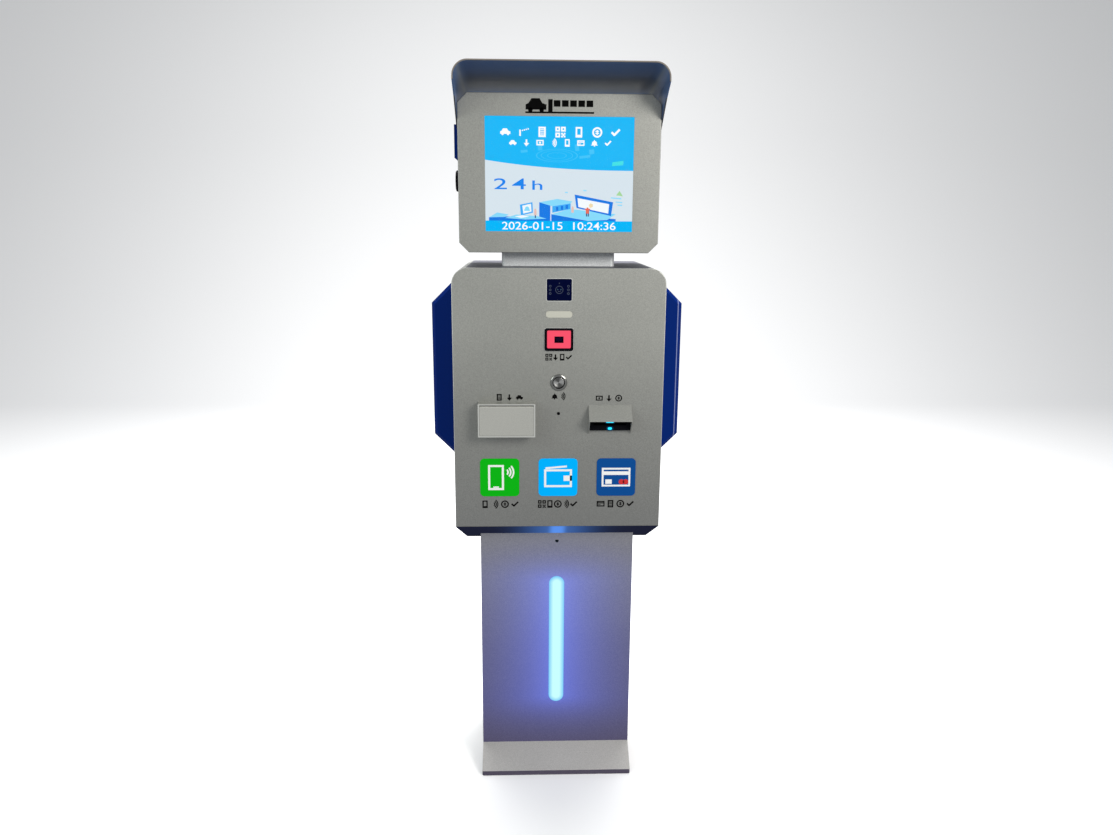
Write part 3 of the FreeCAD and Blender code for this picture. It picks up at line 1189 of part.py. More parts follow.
# ---------------------------------------------------------------- rear doors
class RearDoor:
    """Where a rear door and its hinges and lock lie, from the frame that the door covers."""

    def __init__(self, name, width, low, high, frame):
        self.name = name
        self.half = f"({width})/2 - rear_flange + door_lap"
        self.low = f"{low} + rear_flange - door_lap"
        self.high = f"{high} - rear_flange + door_lap"
        self.frame = frame
        self.front = f"{frame} + door_gap"
        self.back = f"{frame} + door_gap + door_t"
        self.middle = f"({low} + {high})/2"
        self.hinge_x = f"{self.half} + hinge_x_in"
        self.hinge_y = f"{self.back} + hinge_out"
        self.lock_x = f"-({self.half}) + lock_in"


def hinge_places(door):
    """Heights of the two hinges, nearer together on a low door."""
    shift = f"min(hinge_shift; ({door.high} - ({door.low}))/3)"
    return [f"{door.middle} + ({side})*({shift})" for side in SIDES]


def rear_door(door, slots):
    """Lift-off door: overlay sheet with two knuckles, air slots and the bore of its lock."""
    panel = body(f"{door.name}_rear_door")
    add(panel, "XZ", door.front, door.back,
        rounded("0", door.middle, f"2*({door.half})", f"{door.high} - ({door.low})", "door_corner"))
    cut(panel, "XZ", door.front, door.back,
        circle(door.lock_x, door.middle, "lock_rad + lock_gap"), *slots)
    leaf_front = door.back
    leaf_back = f"{door.back} + leaf_t"
    for place in hinge_places(door):
        top = f"{place} + hinge_gap + hinge_len"
        foot = f"{place} + hinge_gap"
        knuckle = circle(door.hinge_x, door.hinge_y, "hinge_knuckle")
        add(panel, "XY", foot, top, polygon(
            (f"{door.half} - leaf_len", leaf_front), (door.hinge_x, leaf_front),
            (door.hinge_x, leaf_back), (f"{door.half} - leaf_len", leaf_back)))
        add(panel, "XY", foot, top, knuckle)
        cut(panel, "XY", foot, top,
            circle(door.hinge_x, door.hinge_y, "hinge_pin_rad + run_gap"))
    keep(panel)


def door_hinges(door):
    """Frame halves of the two hinges, each with its standing pin."""
    halves = []
    for place in hinge_places(door):
        foot = f"{place} - hinge_len"
        leaf = block((f"{door.half} + leaf_gap", f"{door.hinge_x} + hinge_knuckle"),
                     (door.frame, f"{door.frame} + leaf_t"), (foot, place))
        web = block((door.hinge_x, f"{door.hinge_x} + hinge_knuckle"),
                    (f"{door.frame} + leaf_t", door.hinge_y), (foot, place))
        knuckle = rod("Z", foot, place, (door.hinge_x, door.hinge_y), "hinge_knuckle")
        pin = rod("Z", place, f"{place} + hinge_len", (door.hinge_x, door.hinge_y), "hinge_pin_rad")
        halves.append(joined("hinge_half", leaf, web, knuckle, pin))
    keep(group(f"{door.name}_hinges", *halves))


def door_lock(door):
    """Turning lock: key head outside, plug through the door, cam behind the frame's flange."""
    centre = (door.lock_x, door.middle)
    inner = f"{door.frame} - sheet - lock_reach"
    head = rod("Y", door.back, f"{door.back} + lock_head_t", centre, "lock_head_rad")
    plug = rod("Y", inner, door.back, centre, "lock_rad")
    key = block((f"{door.lock_x} - key_t/2", f"{door.lock_x} + key_t/2"),
                (f"{door.back} + lock_head_t - key_d", f"{door.back} + lock_head_t + key_d"),
                (f"{door.middle} - key_w/2", f"{door.middle} + key_w/2"))
    cam = block((f"{door.lock_x} - cam_half", f"{door.lock_x} + cam_half"),
                (inner, f"{inner} + cam_plate"), (door.middle, f"{door.middle} + cam_len"))
    keep(less(f"{door.name}_lock", joined(f"{door.name}_lock_outer", head, plug, cam), key))


def cabinet_door():
    """Door of the cabinet, with air slots below and in front of the fan."""
    door = RearDoor("cabinet", "cab_w", "cab_low", "cab_top", "cab_rear")
    slots = [pill("0", f"slot_low + {step}*slot_pitch", "slot_w", "slot_z")
             for step in range(int(SIZES["slot_count"]))]
    fan_slots = int(SIZES["fan_slots"])
    slots += [pill("0", f"fan_mid + ({step - fan_slots // 2})*fan_slot_pitch", "fan_slot_w", "slot_z")
              for step in range(fan_slots)]
    rear_door(door, slots)
    door_hinges(door)
    door_lock(door)
    return door


def head_door():
    """Door of the head, with three air slots under its top edge."""
    door = RearDoor("head", SHELL_W, f"({SHELL_LOW})", f"({SHELL_HIGH})", "head_back")
    slots = [pill("0", f"head_high - bezel_t - rear_flange - slot_drop - {step}*slot_pitch",
                  "slot_w", "slot_z") for step in range(int(SIZES["slot_count"]) // 2)]
    rear_door(door, slots)
    door_hinges(door)
    door_lock(door)


def fan(door):
    """Square fan on the cabinet door's inner face; the rotor runs on the frame's fixed stub."""
    front = f"{door.front} - fan_t"
    frame = body("fan_frame")
    add(frame, "XZ", front, door.front, rounded("0", "fan_mid", "fan_w", "fan_w", "base_corner"))
    cut(frame, "XZ", front, door.front, circle("0", "fan_mid", "fan_bore"))
    bar_front = f"{door.front} - fan_bar_t"
    add(frame, "XZ", bar_front, door.front,
        polygon(("-fan_bore - sheet", "fan_mid - fan_bar/2"), ("fan_bore + sheet", "fan_mid - fan_bar/2"),
                ("fan_bore + sheet", "fan_mid + fan_bar/2"), ("-fan_bore - sheet", "fan_mid + fan_bar/2")))
    add(frame, "XZ", f"{front} + fan_bar_t", bar_front, circle("0", "fan_mid", "fan_axle"))
    low = f"{front} + fan_bar_t"
    high = f"{bar_front} - fan_bar_t/2"
    hub = rod("Y", low, high, ("0", "fan_mid"), "fan_hub")
    bore = rod("Y", f"{low} - sheet", f"{high} + sheet", ("0", "fan_mid"), "fan_axle + run_gap")
    blades = []
    count = int(SIZES["fan_blades"])
    for step in range(count):
        angle = step * 360 / count
        blade = doc.addObject("Part::Box", "fan_blade")
        blade.setExpression("Length", bound("fan_blade - fan_hub/2"))
        blade.setExpression("Width", bound("fan_blade_t"))
        blade.setExpression("Height", bound(f"{high} - ({low}) - blade_short"))
        pitch = FreeCAD.Rotation(FreeCAD.Vector(1, 0, 0), 90 - value("fan_pitch"))
        around = FreeCAD.Rotation(FreeCAD.Vector(0, 1, 0), angle)
        turn = around.multiply(pitch)
        middle = FreeCAD.Vector(0, (value(low) + value(high)) / 2, value("fan_mid"))
        start = turn.multVec(FreeCAD.Vector(
            value("fan_hub/2"), -value("fan_blade_t") / 2, -value(f"{high} - ({low}) - blade_short") / 2))
        blade.Placement = FreeCAD.Placement(middle + start, turn)
        blades.append(blade)
    rotor = less("fan_rotor", joined("fan_wheel", hub, *blades), bore)
    keep(frame, rotor)


# ---------------------------------------------------------------- assembly
base_plate()
base_skirts()
pedestal_shell()
pedestal_top_plate()
pedestal_cover()
light_strip()
cabinet_pan()
cabinet_bolts()
cable_gland()
cabinet_shell()
front_panel()
side_wing("side_wing_left", -1)
side_wing("side_wing_right", 1)
neck()
head_shell()
head_bezel()
display()
hood()
hood_brackets()
vent_domes()
camera()
light_bar()
scanner()
help_button()
button_spring()
microphone()
ticket_outlet()
note_inlet()
cash_box()
payment_badges()
ticket_printer()
roll_holder()
equipment()
circuit_breaker()
main_door = cabinet_door()
head_door()
fan(main_door)
doc.recompute()

# ---------------------------------------------------------------- checks and files
for item in doc.Objects:
    failed = {"Invalid", "Error"} & set(item.State)
    if failed:
        raise RuntimeError(f"{item.Label}: {sorted(failed)}")
os.makedirs("parts", exist_ok=True)
for part in SUBPARTS:
    shape = part.Shape
    if shape.isNull() or not shape.isValid() or not shape.Solids:
        raise RuntimeError(f"{part.Label}: no valid solid")
    shape.exportStep(f"parts/{part.Label}.step")
    print(f"{part.Label}: {len(shape.Solids)} solid(s), {shape.Volume / 1000:.1f} cm3")
print(f"{len(SUBPARTS)} sub-parts")
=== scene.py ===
import bmesh
import bpy
import math
from mathutils import Matrix, Vector


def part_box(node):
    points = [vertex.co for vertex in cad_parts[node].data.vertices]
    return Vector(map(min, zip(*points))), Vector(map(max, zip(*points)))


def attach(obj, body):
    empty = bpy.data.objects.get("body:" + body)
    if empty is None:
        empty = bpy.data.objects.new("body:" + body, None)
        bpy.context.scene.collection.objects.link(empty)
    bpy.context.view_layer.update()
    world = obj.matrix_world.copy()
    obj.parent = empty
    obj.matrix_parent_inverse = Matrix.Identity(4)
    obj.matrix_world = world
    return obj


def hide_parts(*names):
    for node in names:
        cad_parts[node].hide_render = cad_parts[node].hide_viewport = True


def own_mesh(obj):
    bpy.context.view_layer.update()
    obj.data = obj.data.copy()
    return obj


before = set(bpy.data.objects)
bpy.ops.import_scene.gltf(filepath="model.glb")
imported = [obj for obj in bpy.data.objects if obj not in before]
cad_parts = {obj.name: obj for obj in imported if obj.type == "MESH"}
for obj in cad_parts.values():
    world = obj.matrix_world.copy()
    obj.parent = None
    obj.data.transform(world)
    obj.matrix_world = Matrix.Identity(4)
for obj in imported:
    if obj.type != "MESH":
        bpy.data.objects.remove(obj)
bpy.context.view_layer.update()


# ---------------------------------------------------------------- viewpoint, floor and studio light
# The customer's view of the station: a camera just above the cabinet, tilted down a little.  A pale
# seamless floor runs up behind, and large soft lamps light the front and the right-hand side.
eye = Vector((-0.0705, -1.9766, 1.2504))
turn_right = 0.03613
tilt_down = 0.22007
lean = 0.00658
camera_data = bpy.data.cameras.new("customer_view")
camera_data.lens = 28.66
camera_data.sensor_width = 36.0
camera = bpy.data.objects.new("customer_view", camera_data)
bpy.context.scene.collection.objects.link(camera)
camera.matrix_world = (Matrix.Translation(eye) @ Matrix.Rotation(-turn_right, 4, "Z")
                       @ Matrix.Rotation(math.pi / 2 - tilt_down, 4, "X") @ Matrix.Rotation(lean, 4, "Z"))
bpy.context.scene.camera = camera
bpy.context.scene.view_settings.view_transform = "Standard"

floor_reach = 6.0
floor_rise = 5.0
floor_curve = 2.0
floor_mesh = bmesh.new()
bmesh.ops.create_grid(floor_mesh, x_segments=1, y_segments=1, size=floor_reach)
far_edges = [edge for edge in floor_mesh.edges if all(vert.co.y > 0 for vert in edge.verts)]
raised = bmesh.ops.extrude_edge_only(floor_mesh, edges=far_edges)["geom"]
risen = [part for part in raised if isinstance(part, bmesh.types.BMVert)]
bmesh.ops.translate(floor_mesh, vec=(0, 0, floor_rise), verts=risen)
fold = [edge for edge in floor_mesh.edges if len(edge.link_faces) == 2]
bmesh.ops.bevel(floor_mesh, geom=fold, offset=floor_curve, segments=16, profile=0.5,
                affect="EDGES", material=-1)
floor_data = bpy.data.meshes.new("studio_floor")
floor_mesh.to_mesh(floor_data)
floor_mesh.free()
floor_data.shade_smooth()
studio_floor = bpy.data.objects.new("studio_floor", floor_data)
bpy.context.scene.collection.objects.link(studio_floor)
floor_paint = bpy.data.materials.new("studio_floor")
floor_paint.use_nodes = True
floor_shader = floor_paint.node_tree.nodes["Principled BSDF"]
floor_shader.inputs["Base Color"].default_value = (0.96, 0.96, 0.96, 1)
floor_shader.inputs["Roughness"].default_value = 0.9
floor_data.materials.append(floor_paint)
# The floor is seen, but sends no light back onto the station.
studio_floor.visible_diffuse = False
studio_floor.visible_glossy = False

world = bpy.data.worlds.new("studio")
world.use_nodes = True
world.node_tree.nodes["Background"].inputs["Color"].default_value = (0.95, 0.97, 1.0, 1)
world.node_tree.nodes["Background"].inputs["Strength"].default_value = 0.42
bpy.context.scene.world = world


def soft_lamp(name, place, aim, size, power, colour):
    """A square soft lamp that points at a spot."""
    lamp = bpy.data.lights.new(name, "AREA")
    lamp.shape = "SQUARE"
    lamp.size = size
    lamp.energy = power
    lamp.color = colour
    holder = bpy.data.objects.new(name, lamp)
    bpy.context.scene.collection.objects.link(holder)
    direction = Vector(aim) - Vector(place)
    holder.matrix_world = Matrix.Translation(place) @ direction.to_track_quat("-Z", "Y").to_matrix().to_4x4()


soft_lamp("key_lamp", (1.75, -2.3, 2.25), (0, 0, 1.0), 1.2, 70, (1.0, 0.97, 0.92))
soft_lamp("fill_lamp", (-2.4, -2.0, 2.1), (0, 0, 1.1), 1.6, 31, (0.93, 1.0, 0.96))
soft_lamp("floor_lamp", (0.0, 1.4, 3.4), (0, 2.2, 0.3), 2.4, 210, (1.0, 1.0, 1.0))


# ---------------------------------------------------------------- base plate and skirts
# A thick steel plate that is bolted to the island, painted dark violet as painted shade, with folded
# skirts in front and behind, powder coated in light metallic grey.  Every painted sheet of the station
# has the same fine metal flake.
def noise_on(material, scale, detail):
    """Noise over the piece's own metres."""
    nodes = material.node_tree.nodes
    place = nodes.new("ShaderNodeTexCoord")
    noise = nodes.new("ShaderNodeTexNoise")
    noise.inputs["Scale"].default_value = scale
    noise.inputs["Detail"].default_value = detail
    material.node_tree.links.new(place.outputs["Object"], noise.inputs["Vector"])
    return noise.outputs["Fac"]


def ramp_on(material, factor, *stops):
    """A colour ramp over a factor; each stop is a position and a colour."""
    ramp = material.node_tree.nodes.new("ShaderNodeValToRGB")
    for place, (position, colour) in enumerate(stops):
        if place < 2:
            element = ramp.color_ramp.elements[place]
            element.position = position
        else:
            element = ramp.color_ramp.elements.new(position)
        element.color = (*colour, 1)
    material.node_tree.links.new(factor, ramp.inputs["Fac"])
    return ramp.outputs["Color"]


def mixed(material, blend, factor, one, other):
    """Two colours mixed; a factor may be a number or a socket."""
    mixer = material.node_tree.nodes.new("ShaderNodeMix")
    mixer.data_type = "RGBA"
    mixer.blend_type = blend
    links = material.node_tree.links
    if isinstance(factor, float):
        mixer.inputs["Factor"].default_value = factor
    else:
        links.new(factor, mixer.inputs["Factor"])
    for socket, colour in (("A", one), ("B", other)):
        if isinstance(colour, tuple):
            mixer.inputs[socket].default_value = (*colour, 1)
        else:
            links.new(colour, mixer.inputs[socket])
    return mixer.outputs["Result"]


def shader_of(material):
    return material.node_tree.nodes["Principled BSDF"]


def painted(name, colour, roughness=0.42, metallic=0.5, flake=0.14, grain=700, specular=0.5):
    """Powder coat with a fine metal flake, faint clouds and orange peel."""
    material = bpy.data.materials.new(name)
    material.use_nodes = True
    links = material.node_tree.links
    shader = shader_of(material)
    gloss_spread = 0.05
    cloud_scale = 3.0
    peel_scale = 420
    peel_strength = 0.03
    peel_depth = 0.0005
    shader.inputs["Metallic"].default_value = metallic
    shader.inputs["Specular IOR Level"].default_value = specular
    dark = tuple(channel * (1 - flake) for channel in colour)
    light = tuple(min(1.0, channel * (1 + flake)) for channel in colour)
    cloud = noise_on(material, cloud_scale, 3.0)
    fine = ramp_on(material, noise_on(material, grain, 2.0), (0.35, dark), (0.65, light))
    broad = ramp_on(material, cloud, (0.3, (0.93, 0.93, 0.93)), (0.7, (1.0, 1.0, 1.0)))
    links.new(mixed(material, "MULTIPLY", 1.0, fine, broad), shader.inputs["Base Color"])
    gloss = material.node_tree.nodes.new("ShaderNodeMapRange")
    gloss.inputs["To Min"].default_value = roughness - gloss_spread
    gloss.inputs["To Max"].default_value = roughness + gloss_spread
    links.new(cloud, gloss.inputs["Value"])
    links.new(gloss.outputs["Result"], shader.inputs["Roughness"])
    relief = material.node_tree.nodes.new("ShaderNodeBump")
    relief.inputs["Strength"].default_value = peel_strength
    relief.inputs["Distance"].default_value = peel_depth
    links.new(noise_on(material, peel_scale, 1.0), relief.inputs["Height"])
    links.new(relief.outputs["Normal"], shader.inputs["Normal"])
    return material


def dress(material, *nodes):
    """Give CAD pieces a finish."""
    for node in nodes:
        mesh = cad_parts[node].data
        mesh.materials.clear()
        mesh.materials.append(material)


skirt_paint = painted("skirt_paint", (0.42, 0.41, 0.40), roughness=0.5, metallic=0.3)
# The plate's dark violet is painted shade over its front edge.
shaded_plate_paint = painted("shaded_plate_paint", (0.10, 0.085, 0.13), roughness=0.5, metallic=0.3)
dress(skirt_paint, "base_skirts")
dress(shaded_plate_paint, "base_plate")


# ---------------------------------------------------------------- pedestal and its light strip
# A folded steel column in the silver paint.  The opal strip in its front is lit cyan from behind; its
# violet bloom over the paint round it is painted in as a glow that fades towards the column's edges, and
# the paint is darker towards the floor as painted shade, violet at the front as painted light.
def axis_of(material, axis):
    """One coordinate of the piece's own metres."""
    place = material.node_tree.nodes.new("ShaderNodeTexCoord")
    split = material.node_tree.nodes.new("ShaderNodeSeparateXYZ")
    material.node_tree.links.new(place.outputs["Object"], split.inputs["Vector"])
    return split.outputs[axis]


def maths(material, operation, one, other=0.0, third=0.0):
    """One arithmetic step; each term is a number or a socket."""
    node = material.node_tree.nodes.new("ShaderNodeMath")
    node.operation = operation
    for place, term in enumerate((one, other, third)):
        if isinstance(term, (int, float)):
            node.inputs[place].default_value = term
        else:
            material.node_tree.links.new(term, node.inputs[place])
    return node.outputs["Value"]


def faded(material, distance):
    """A share that falls from one towards zero as a distance grows."""
    return maths(material, "POWER", math.e, maths(material, "MULTIPLY", distance, -1.0))


def coloured(material, tone):
    """Let a tone socket set the colour of a finish."""
    material.node_tree.links.new(tone, shader_of(material).inputs["Base Color"])


def toned(material, tone):
    """Multiply the colour of a finish by a tone socket."""
    under = shader_of(material).inputs["Base Color"].links[0].from_socket
    coloured(material, mixed(material, "MULTIPLY", 1.0, under, tone))


def shining(material, strength, colour):
    """Let a strength socket make a finish shine."""
    material.node_tree.links.new(strength, shader_of(material).inputs["Emission Strength"])
    shader_of(material).inputs["Emission Color"].default_value = (*colour, 1)


def distance_from_line(material, half_length, middle_z, end_weight=1.0):
    """How far a point of the front is from an upright line at x = 0; a weight shortens its ends."""
    along = maths(material, "SUBTRACT", axis_of(material, "Z"), middle_z)
    past_end = maths(material, "SUBTRACT", maths(material, "ABSOLUTE", along), half_length)
    beyond = maths(material, "MULTIPLY", maths(material, "MAXIMUM", past_end, 0.0), end_weight)
    across = axis_of(material, "X")
    return maths(material, "SQRT", maths(material, "ADD", maths(material, "MULTIPLY", across, across),
                                         maths(material, "MULTIPLY", beyond, beyond)))


strip_low, strip_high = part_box("strip_diffuser")
strip_middle = (strip_low[2] + strip_high[2]) / 2
strip_end = 0.022
strip_half = (strip_high[2] - strip_low[2]) / 2 - strip_end
strip_half_width = 0.017
column_sheet = 0.0025
bloom_reach = 0.10
bloom_peak = 0.74
bloom_end_weight = 2.2
pedestal_paint = painted("pedestal_paint", (0.32, 0.315, 0.30))
facing_front = maths(pedestal_paint, "LESS_THAN", axis_of(pedestal_paint, "Y"), strip_low[1] + column_sheet)
# Front: painted violet light from the strip and painted shade, darker towards the floor.  Sides: painted
# shade, darker towards the floor.
front_glow_and_shade = ramp_on(pedestal_paint, axis_of(pedestal_paint, "Z"), (0.05, (0.43, 0.38, 0.64)),
                     (0.58, (0.95, 0.95, 0.95)), (0.30, (0.57, 0.54, 0.70)))
side_shade = ramp_on(pedestal_paint, axis_of(pedestal_paint, "Z"), (0.05, (0.66, 0.66, 0.72)),
                    (0.58, (0.95, 0.95, 0.97)))
toned(pedestal_paint, mixed(pedestal_paint, "MIX", facing_front, side_shade, front_glow_and_shade))
# The strip's bloom is a painted glow in the paint, fading away from the strip.
from_strip = distance_from_line(pedestal_paint, strip_half, strip_middle, bloom_end_weight)
bloom = faded(pedestal_paint, maths(pedestal_paint, "DIVIDE", maths(
    pedestal_paint, "SUBTRACT", from_strip, strip_half_width), bloom_reach))
front_bloom = maths(pedestal_paint, "MULTIPLY", maths(pedestal_paint, "MULTIPLY", bloom, bloom_peak),
                    facing_front)
shining(pedestal_paint, front_bloom, (0.07, 0.13, 0.75))
plain_pedestal_paint = painted("plain_pedestal_paint", (0.25, 0.25, 0.26))
dress(pedestal_paint, "pedestal_shell")
dress(plain_pedestal_paint, "pedestal_rear_cover")


def lit(name, colour, strength, roughness=0.4):
    """Something that shines by itself."""
    material = bpy.data.materials.new(name)
    material.use_nodes = True
    shader = shader_of(material)
    shader.inputs["Base Color"].default_value = (0, 0, 0, 1)
    shader.inputs["Specular IOR Level"].default_value = 0.1
    shader.inputs["Roughness"].default_value = roughness
    shader.inputs["Emission Color"].default_value = (*colour, 1)
    shader.inputs["Emission Strength"].default_value = strength
    return material


strip_glow = lit("strip_glow", (0.55, 0.98, 1.0), 1.0)
strip_depth = maths(strip_glow, "DIVIDE", distance_from_line(strip_glow, strip_half, strip_middle),
                    strip_half_width)
strip_tone = ramp_on(strip_glow, strip_depth, (0.45, (0.58, 1.0, 1.0)), (1.0, (0.20, 0.60, 0.95)))
strip_glow.node_tree.links.new(strip_tone, shader_of(strip_glow).inputs["Emission Color"])
dress(strip_glow, "strip_diffuser")

zinc = painted("zinc_plate", (0.6, 0.6, 0.57), roughness=0.35, metallic=1.0, flake=0.2, grain=60)
dress(zinc, "pedestal_top_plate", "pedestal_cover_screws", "cabinet_bolts", "hood_screws", "cash_shelf",
      "roll_holder", "equipment_plate", "cabinet_hinges", "head_hinges")


# ---------------------------------------------------------------- cabinet
# Wrapped silver sheet over a bottom pan with hips, closed in front by the payment panel; the side pods
# are blue.  The pan's dark blue is painted shade and painted reflection, with the strip's light painted
# into the hip's middle as a glow.  The panel's long edges carry a painted highlight, the panel is painted
# darker towards the bottom as shade, the roof's top face is painted dark as a reflection, and a painted
# highlight runs down the right pod's front bevel.
silver = (0.40, 0.404, 0.375)
silver_paint = painted("silver_paint", silver, roughness=0.4, metallic=0.6)
dress(silver_paint, "cabinet_rear_door")


def edged(material, share, edge_colour):
    """Mix another colour into a finish by a share socket."""
    under = shader_of(material).inputs["Base Color"].links[0].from_socket
    coloured(material, mixed(material, "MIX", share, under, edge_colour))


panel_paint = painted("panel_paint", silver, roughness=0.4, metallic=0.6)
panel_low, panel_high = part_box("front_panel")
panel_highlight_width = 0.0011
# A painted highlight along the panel's long edges.
edged(panel_paint, maths(panel_paint, "GREATER_THAN", maths(panel_paint, "ABSOLUTE", axis_of(
    panel_paint, "X")), panel_high[0] - panel_highlight_width), (0.85, 0.85, 0.80))
# Painted shade: the panel is darker towards the bottom.
panel_rise = maths(panel_paint, "DIVIDE", maths(panel_paint, "SUBTRACT", axis_of(panel_paint, "Z"),
                                                panel_low[2]), panel_high[2] - panel_low[2])
toned(panel_paint, ramp_on(panel_paint, panel_rise, (0.0, (0.67, 0.67, 0.70)), (0.75, (1.0, 1.0, 1.0)),
                           (0.40, (0.80, 0.80, 0.81))))
dress(panel_paint, "front_panel")
roof_paint = painted("roof_paint", silver, roughness=0.4, metallic=0.6)
# The roof's top face is painted dark as a painted reflection.
roof_top = panel_high[2] - 0.0004
edged(roof_paint, maths(roof_paint, "GREATER_THAN", axis_of(roof_paint, "Z"), roof_top), (0.12, 0.12, 0.15))
dress(roof_paint, "cabinet_shell")

# The hip's dark blue is painted shade and painted reflection; the strip's light is painted into its middle as
# a glow.
shaded_hip_paint = painted("shaded_hip_paint", (0.030, 0.034, 0.075), roughness=0.3, metallic=0.0, specular=0.0)
hip_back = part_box("cabinet_pan")[0][1] + 0.06
off_centre = maths(shaded_hip_paint, "DIVIDE", maths(shaded_hip_paint, "ABSOLUTE", axis_of(shaded_hip_paint, "X")),
                   strip_half_width)
spot = faded(shaded_hip_paint, maths(shaded_hip_paint, "POWER", off_centre, 4.0))
wide_glow = faded(shaded_hip_paint, maths(shaded_hip_paint, "MULTIPLY", 0.06, maths(shaded_hip_paint, "POWER", off_centre, 2.0)))
hip_glow = maths(shaded_hip_paint, "ADD", maths(shaded_hip_paint, "MULTIPLY", spot, 0.45),
                 maths(shaded_hip_paint, "MULTIPLY", wide_glow, 0.36))
hip_front = maths(shaded_hip_paint, "LESS_THAN", axis_of(shaded_hip_paint, "Y"), hip_back)
shining(shaded_hip_paint, maths(shaded_hip_paint, "MULTIPLY", hip_glow, hip_front), (0.11, 0.33, 1.0))
dress(shaded_hip_paint, "cabinet_pan")

wing_paint = painted("wing_paint", (0.0004, 0.019, 0.175), roughness=0.3, metallic=0.0, flake=0.05,
                     specular=0.08)
wing_low, wing_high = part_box("side_wing_right")
# A painted highlight down the right pod's front bevel.
crease_x = wing_high[0] - 0.0085
highlight_half_width = 0.0010
bevel_depth = 0.012
off_highlight = maths(wing_paint, "ABSOLUTE", maths(wing_paint, "SUBTRACT", axis_of(wing_paint, "X"), crease_x))
on_bevel = maths(wing_paint, "LESS_THAN", axis_of(wing_paint, "Y"), wing_low[1] + bevel_depth)
edged(wing_paint, maths(wing_paint, "MULTIPLY", on_bevel, maths(
    wing_paint, "LESS_THAN", off_highlight, highlight_half_width)), (0.22, 0.26, 0.50))
dress(wing_paint, "side_wing_left", "side_wing_right", "hood_brackets")
black_plastic = painted("black_plastic", (0.004, 0.004, 0.006), roughness=0.5, metallic=0.0, specular=0.03)
dress(black_plastic, "cable_gland", "vent_domes", "microphone", "button_switch")


# ---------------------------------------------------------------- printed signs
# Thin layers of ink or film on a face that looks towards the customer.  All signs are plain
# pictograms: a car, a boom, a ticket, a banknote, a telephone, a code, a coin, a card and a bell.
class Print:
    """Flat shapes on one face, in x and z metres, a few hundredths of a millimetre thick."""

    def __init__(self, face_y, thickness=0.00008):
        self.mesh = bmesh.new()
        self.face_y = face_y
        self.thickness = thickness

    def thicken(self, before):
        """Give the faces made since a count their thickness, towards the customer."""
        self.mesh.faces.ensure_lookup_table()
        faces = self.mesh.faces[before:]
        for face in faces:
            face.normal_update()
            if face.normal.y > 0:
                face.normal_flip()
        grown = bmesh.ops.extrude_face_region(self.mesh, geom=faces, use_keep_orig=True)["geom"]
        moved = [part for part in grown if isinstance(part, bmesh.types.BMVert)]
        bmesh.ops.translate(self.mesh, vec=(0, -self.thickness, 0), verts=moved)
        bmesh.ops.reverse_faces(self.mesh, faces=faces)

    def place(self, x, z, tilt=0.0):
        """The matrix that stands a flat outline up at a point of the face."""
        return (Matrix.Translation((x, self.face_y, z)) @ Matrix.Rotation(math.pi / 2, 4, "X")
                @ Matrix.Rotation(tilt, 4, "Z"))

    def shape(self, *points):
        """A filled outline."""
        before = len(self.mesh.faces)
        corners = [self.mesh.verts.new((x, self.face_y, z)) for x, z in points]
        bmesh.ops.contextual_create(self.mesh, geom=corners)
        self.thicken(before)

    def bar(self, x, z, width, height, tilt=0.0):
        """A rectangle about a point, turned by an angle in radians."""
        before = len(self.mesh.faces)
        bmesh.ops.create_grid(self.mesh, x_segments=1, y_segments=1, size=0.5,
                              matrix=self.place(x, z, tilt) @ Matrix.Diagonal((width, height, 1, 1)))
        self.thicken(before)

    def disc(self, x, z, radius, sides=32):
        """A filled circle."""
        before = len(self.mesh.faces)
        bmesh.ops.create_circle(self.mesh, cap_ends=True, radius=radius, segments=sides,
                                matrix=self.place(x, z, math.pi / 2))
        self.thicken(before)

    def ring(self, x, z, outer, inner, start=0.0, end=2 * math.pi, sides=32):
        """A ring, or a part of one between two angles."""
        before = len(self.mesh.faces)
        ends = [self.mesh.verts.new((x + radius * math.cos(start), self.face_y, z + radius * math.sin(start)))
                for radius in (inner, outer)]
        bmesh.ops.spin(self.mesh, geom=[*ends, self.mesh.edges.new(ends)], cent=(x, self.face_y, z),
                       axis=(0, -1, 0), dvec=(0, 0, 0), angle=end - start, steps=sides,
                       use_merge=end - start == 2 * math.pi, use_duplicate=False)
        self.thicken(before)

    def frame(self, x, z, width, height, line):
        """The outline of a rectangle."""
        self.bar(x, z + (height - line) / 2, width, line)
        self.bar(x, z - (height - line) / 2, width, line)
        self.bar(x - (width - line) / 2, z, line, height - 2 * line)
        self.bar(x + (width - line) / 2, z, line, height - 2 * line)

    def round_frame(self, x, z, width, height, radius, line):
        """The outline of a rectangle with round corners; the sizes are those of its hole."""
        for side in (-1, 1):
            self.bar(x, z + side * (height + line) / 2, width - 2 * radius, line)
            self.bar(x + side * (width + line) / 2, z, line, height - 2 * radius)
        for turn in range(4):
            start = turn * math.pi / 2
            corner_x = math.copysign(width / 2 - radius, math.cos(start + math.pi / 4))
            corner_z = math.copysign(height / 2 - radius, math.sin(start + math.pi / 4))
            self.ring(x + corner_x, z + corner_z, radius + line, radius, start, start + math.pi / 2, 6)

    def piece(self, name, material):
        """Finish the layer."""
        bmesh.ops.remove_doubles(self.mesh, verts=self.mesh.verts, dist=1e-7)
        finished(name, self.mesh, material)


def finished(name, mesh, material, body="root", smooth_angle=None):
    """Turn a bmesh into a piece that rides on a body."""
    data = bpy.data.meshes.new(name)
    mesh.to_mesh(data)
    mesh.free()
    piece = bpy.data.objects.new(name, data)
    bpy.context.scene.collection.objects.link(piece)
    data.materials.append(material)
    if smooth_angle:
        data.shade_smooth()
        data.set_sharp_from_angle(angle=smooth_angle)
    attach(piece, body)
    return piece


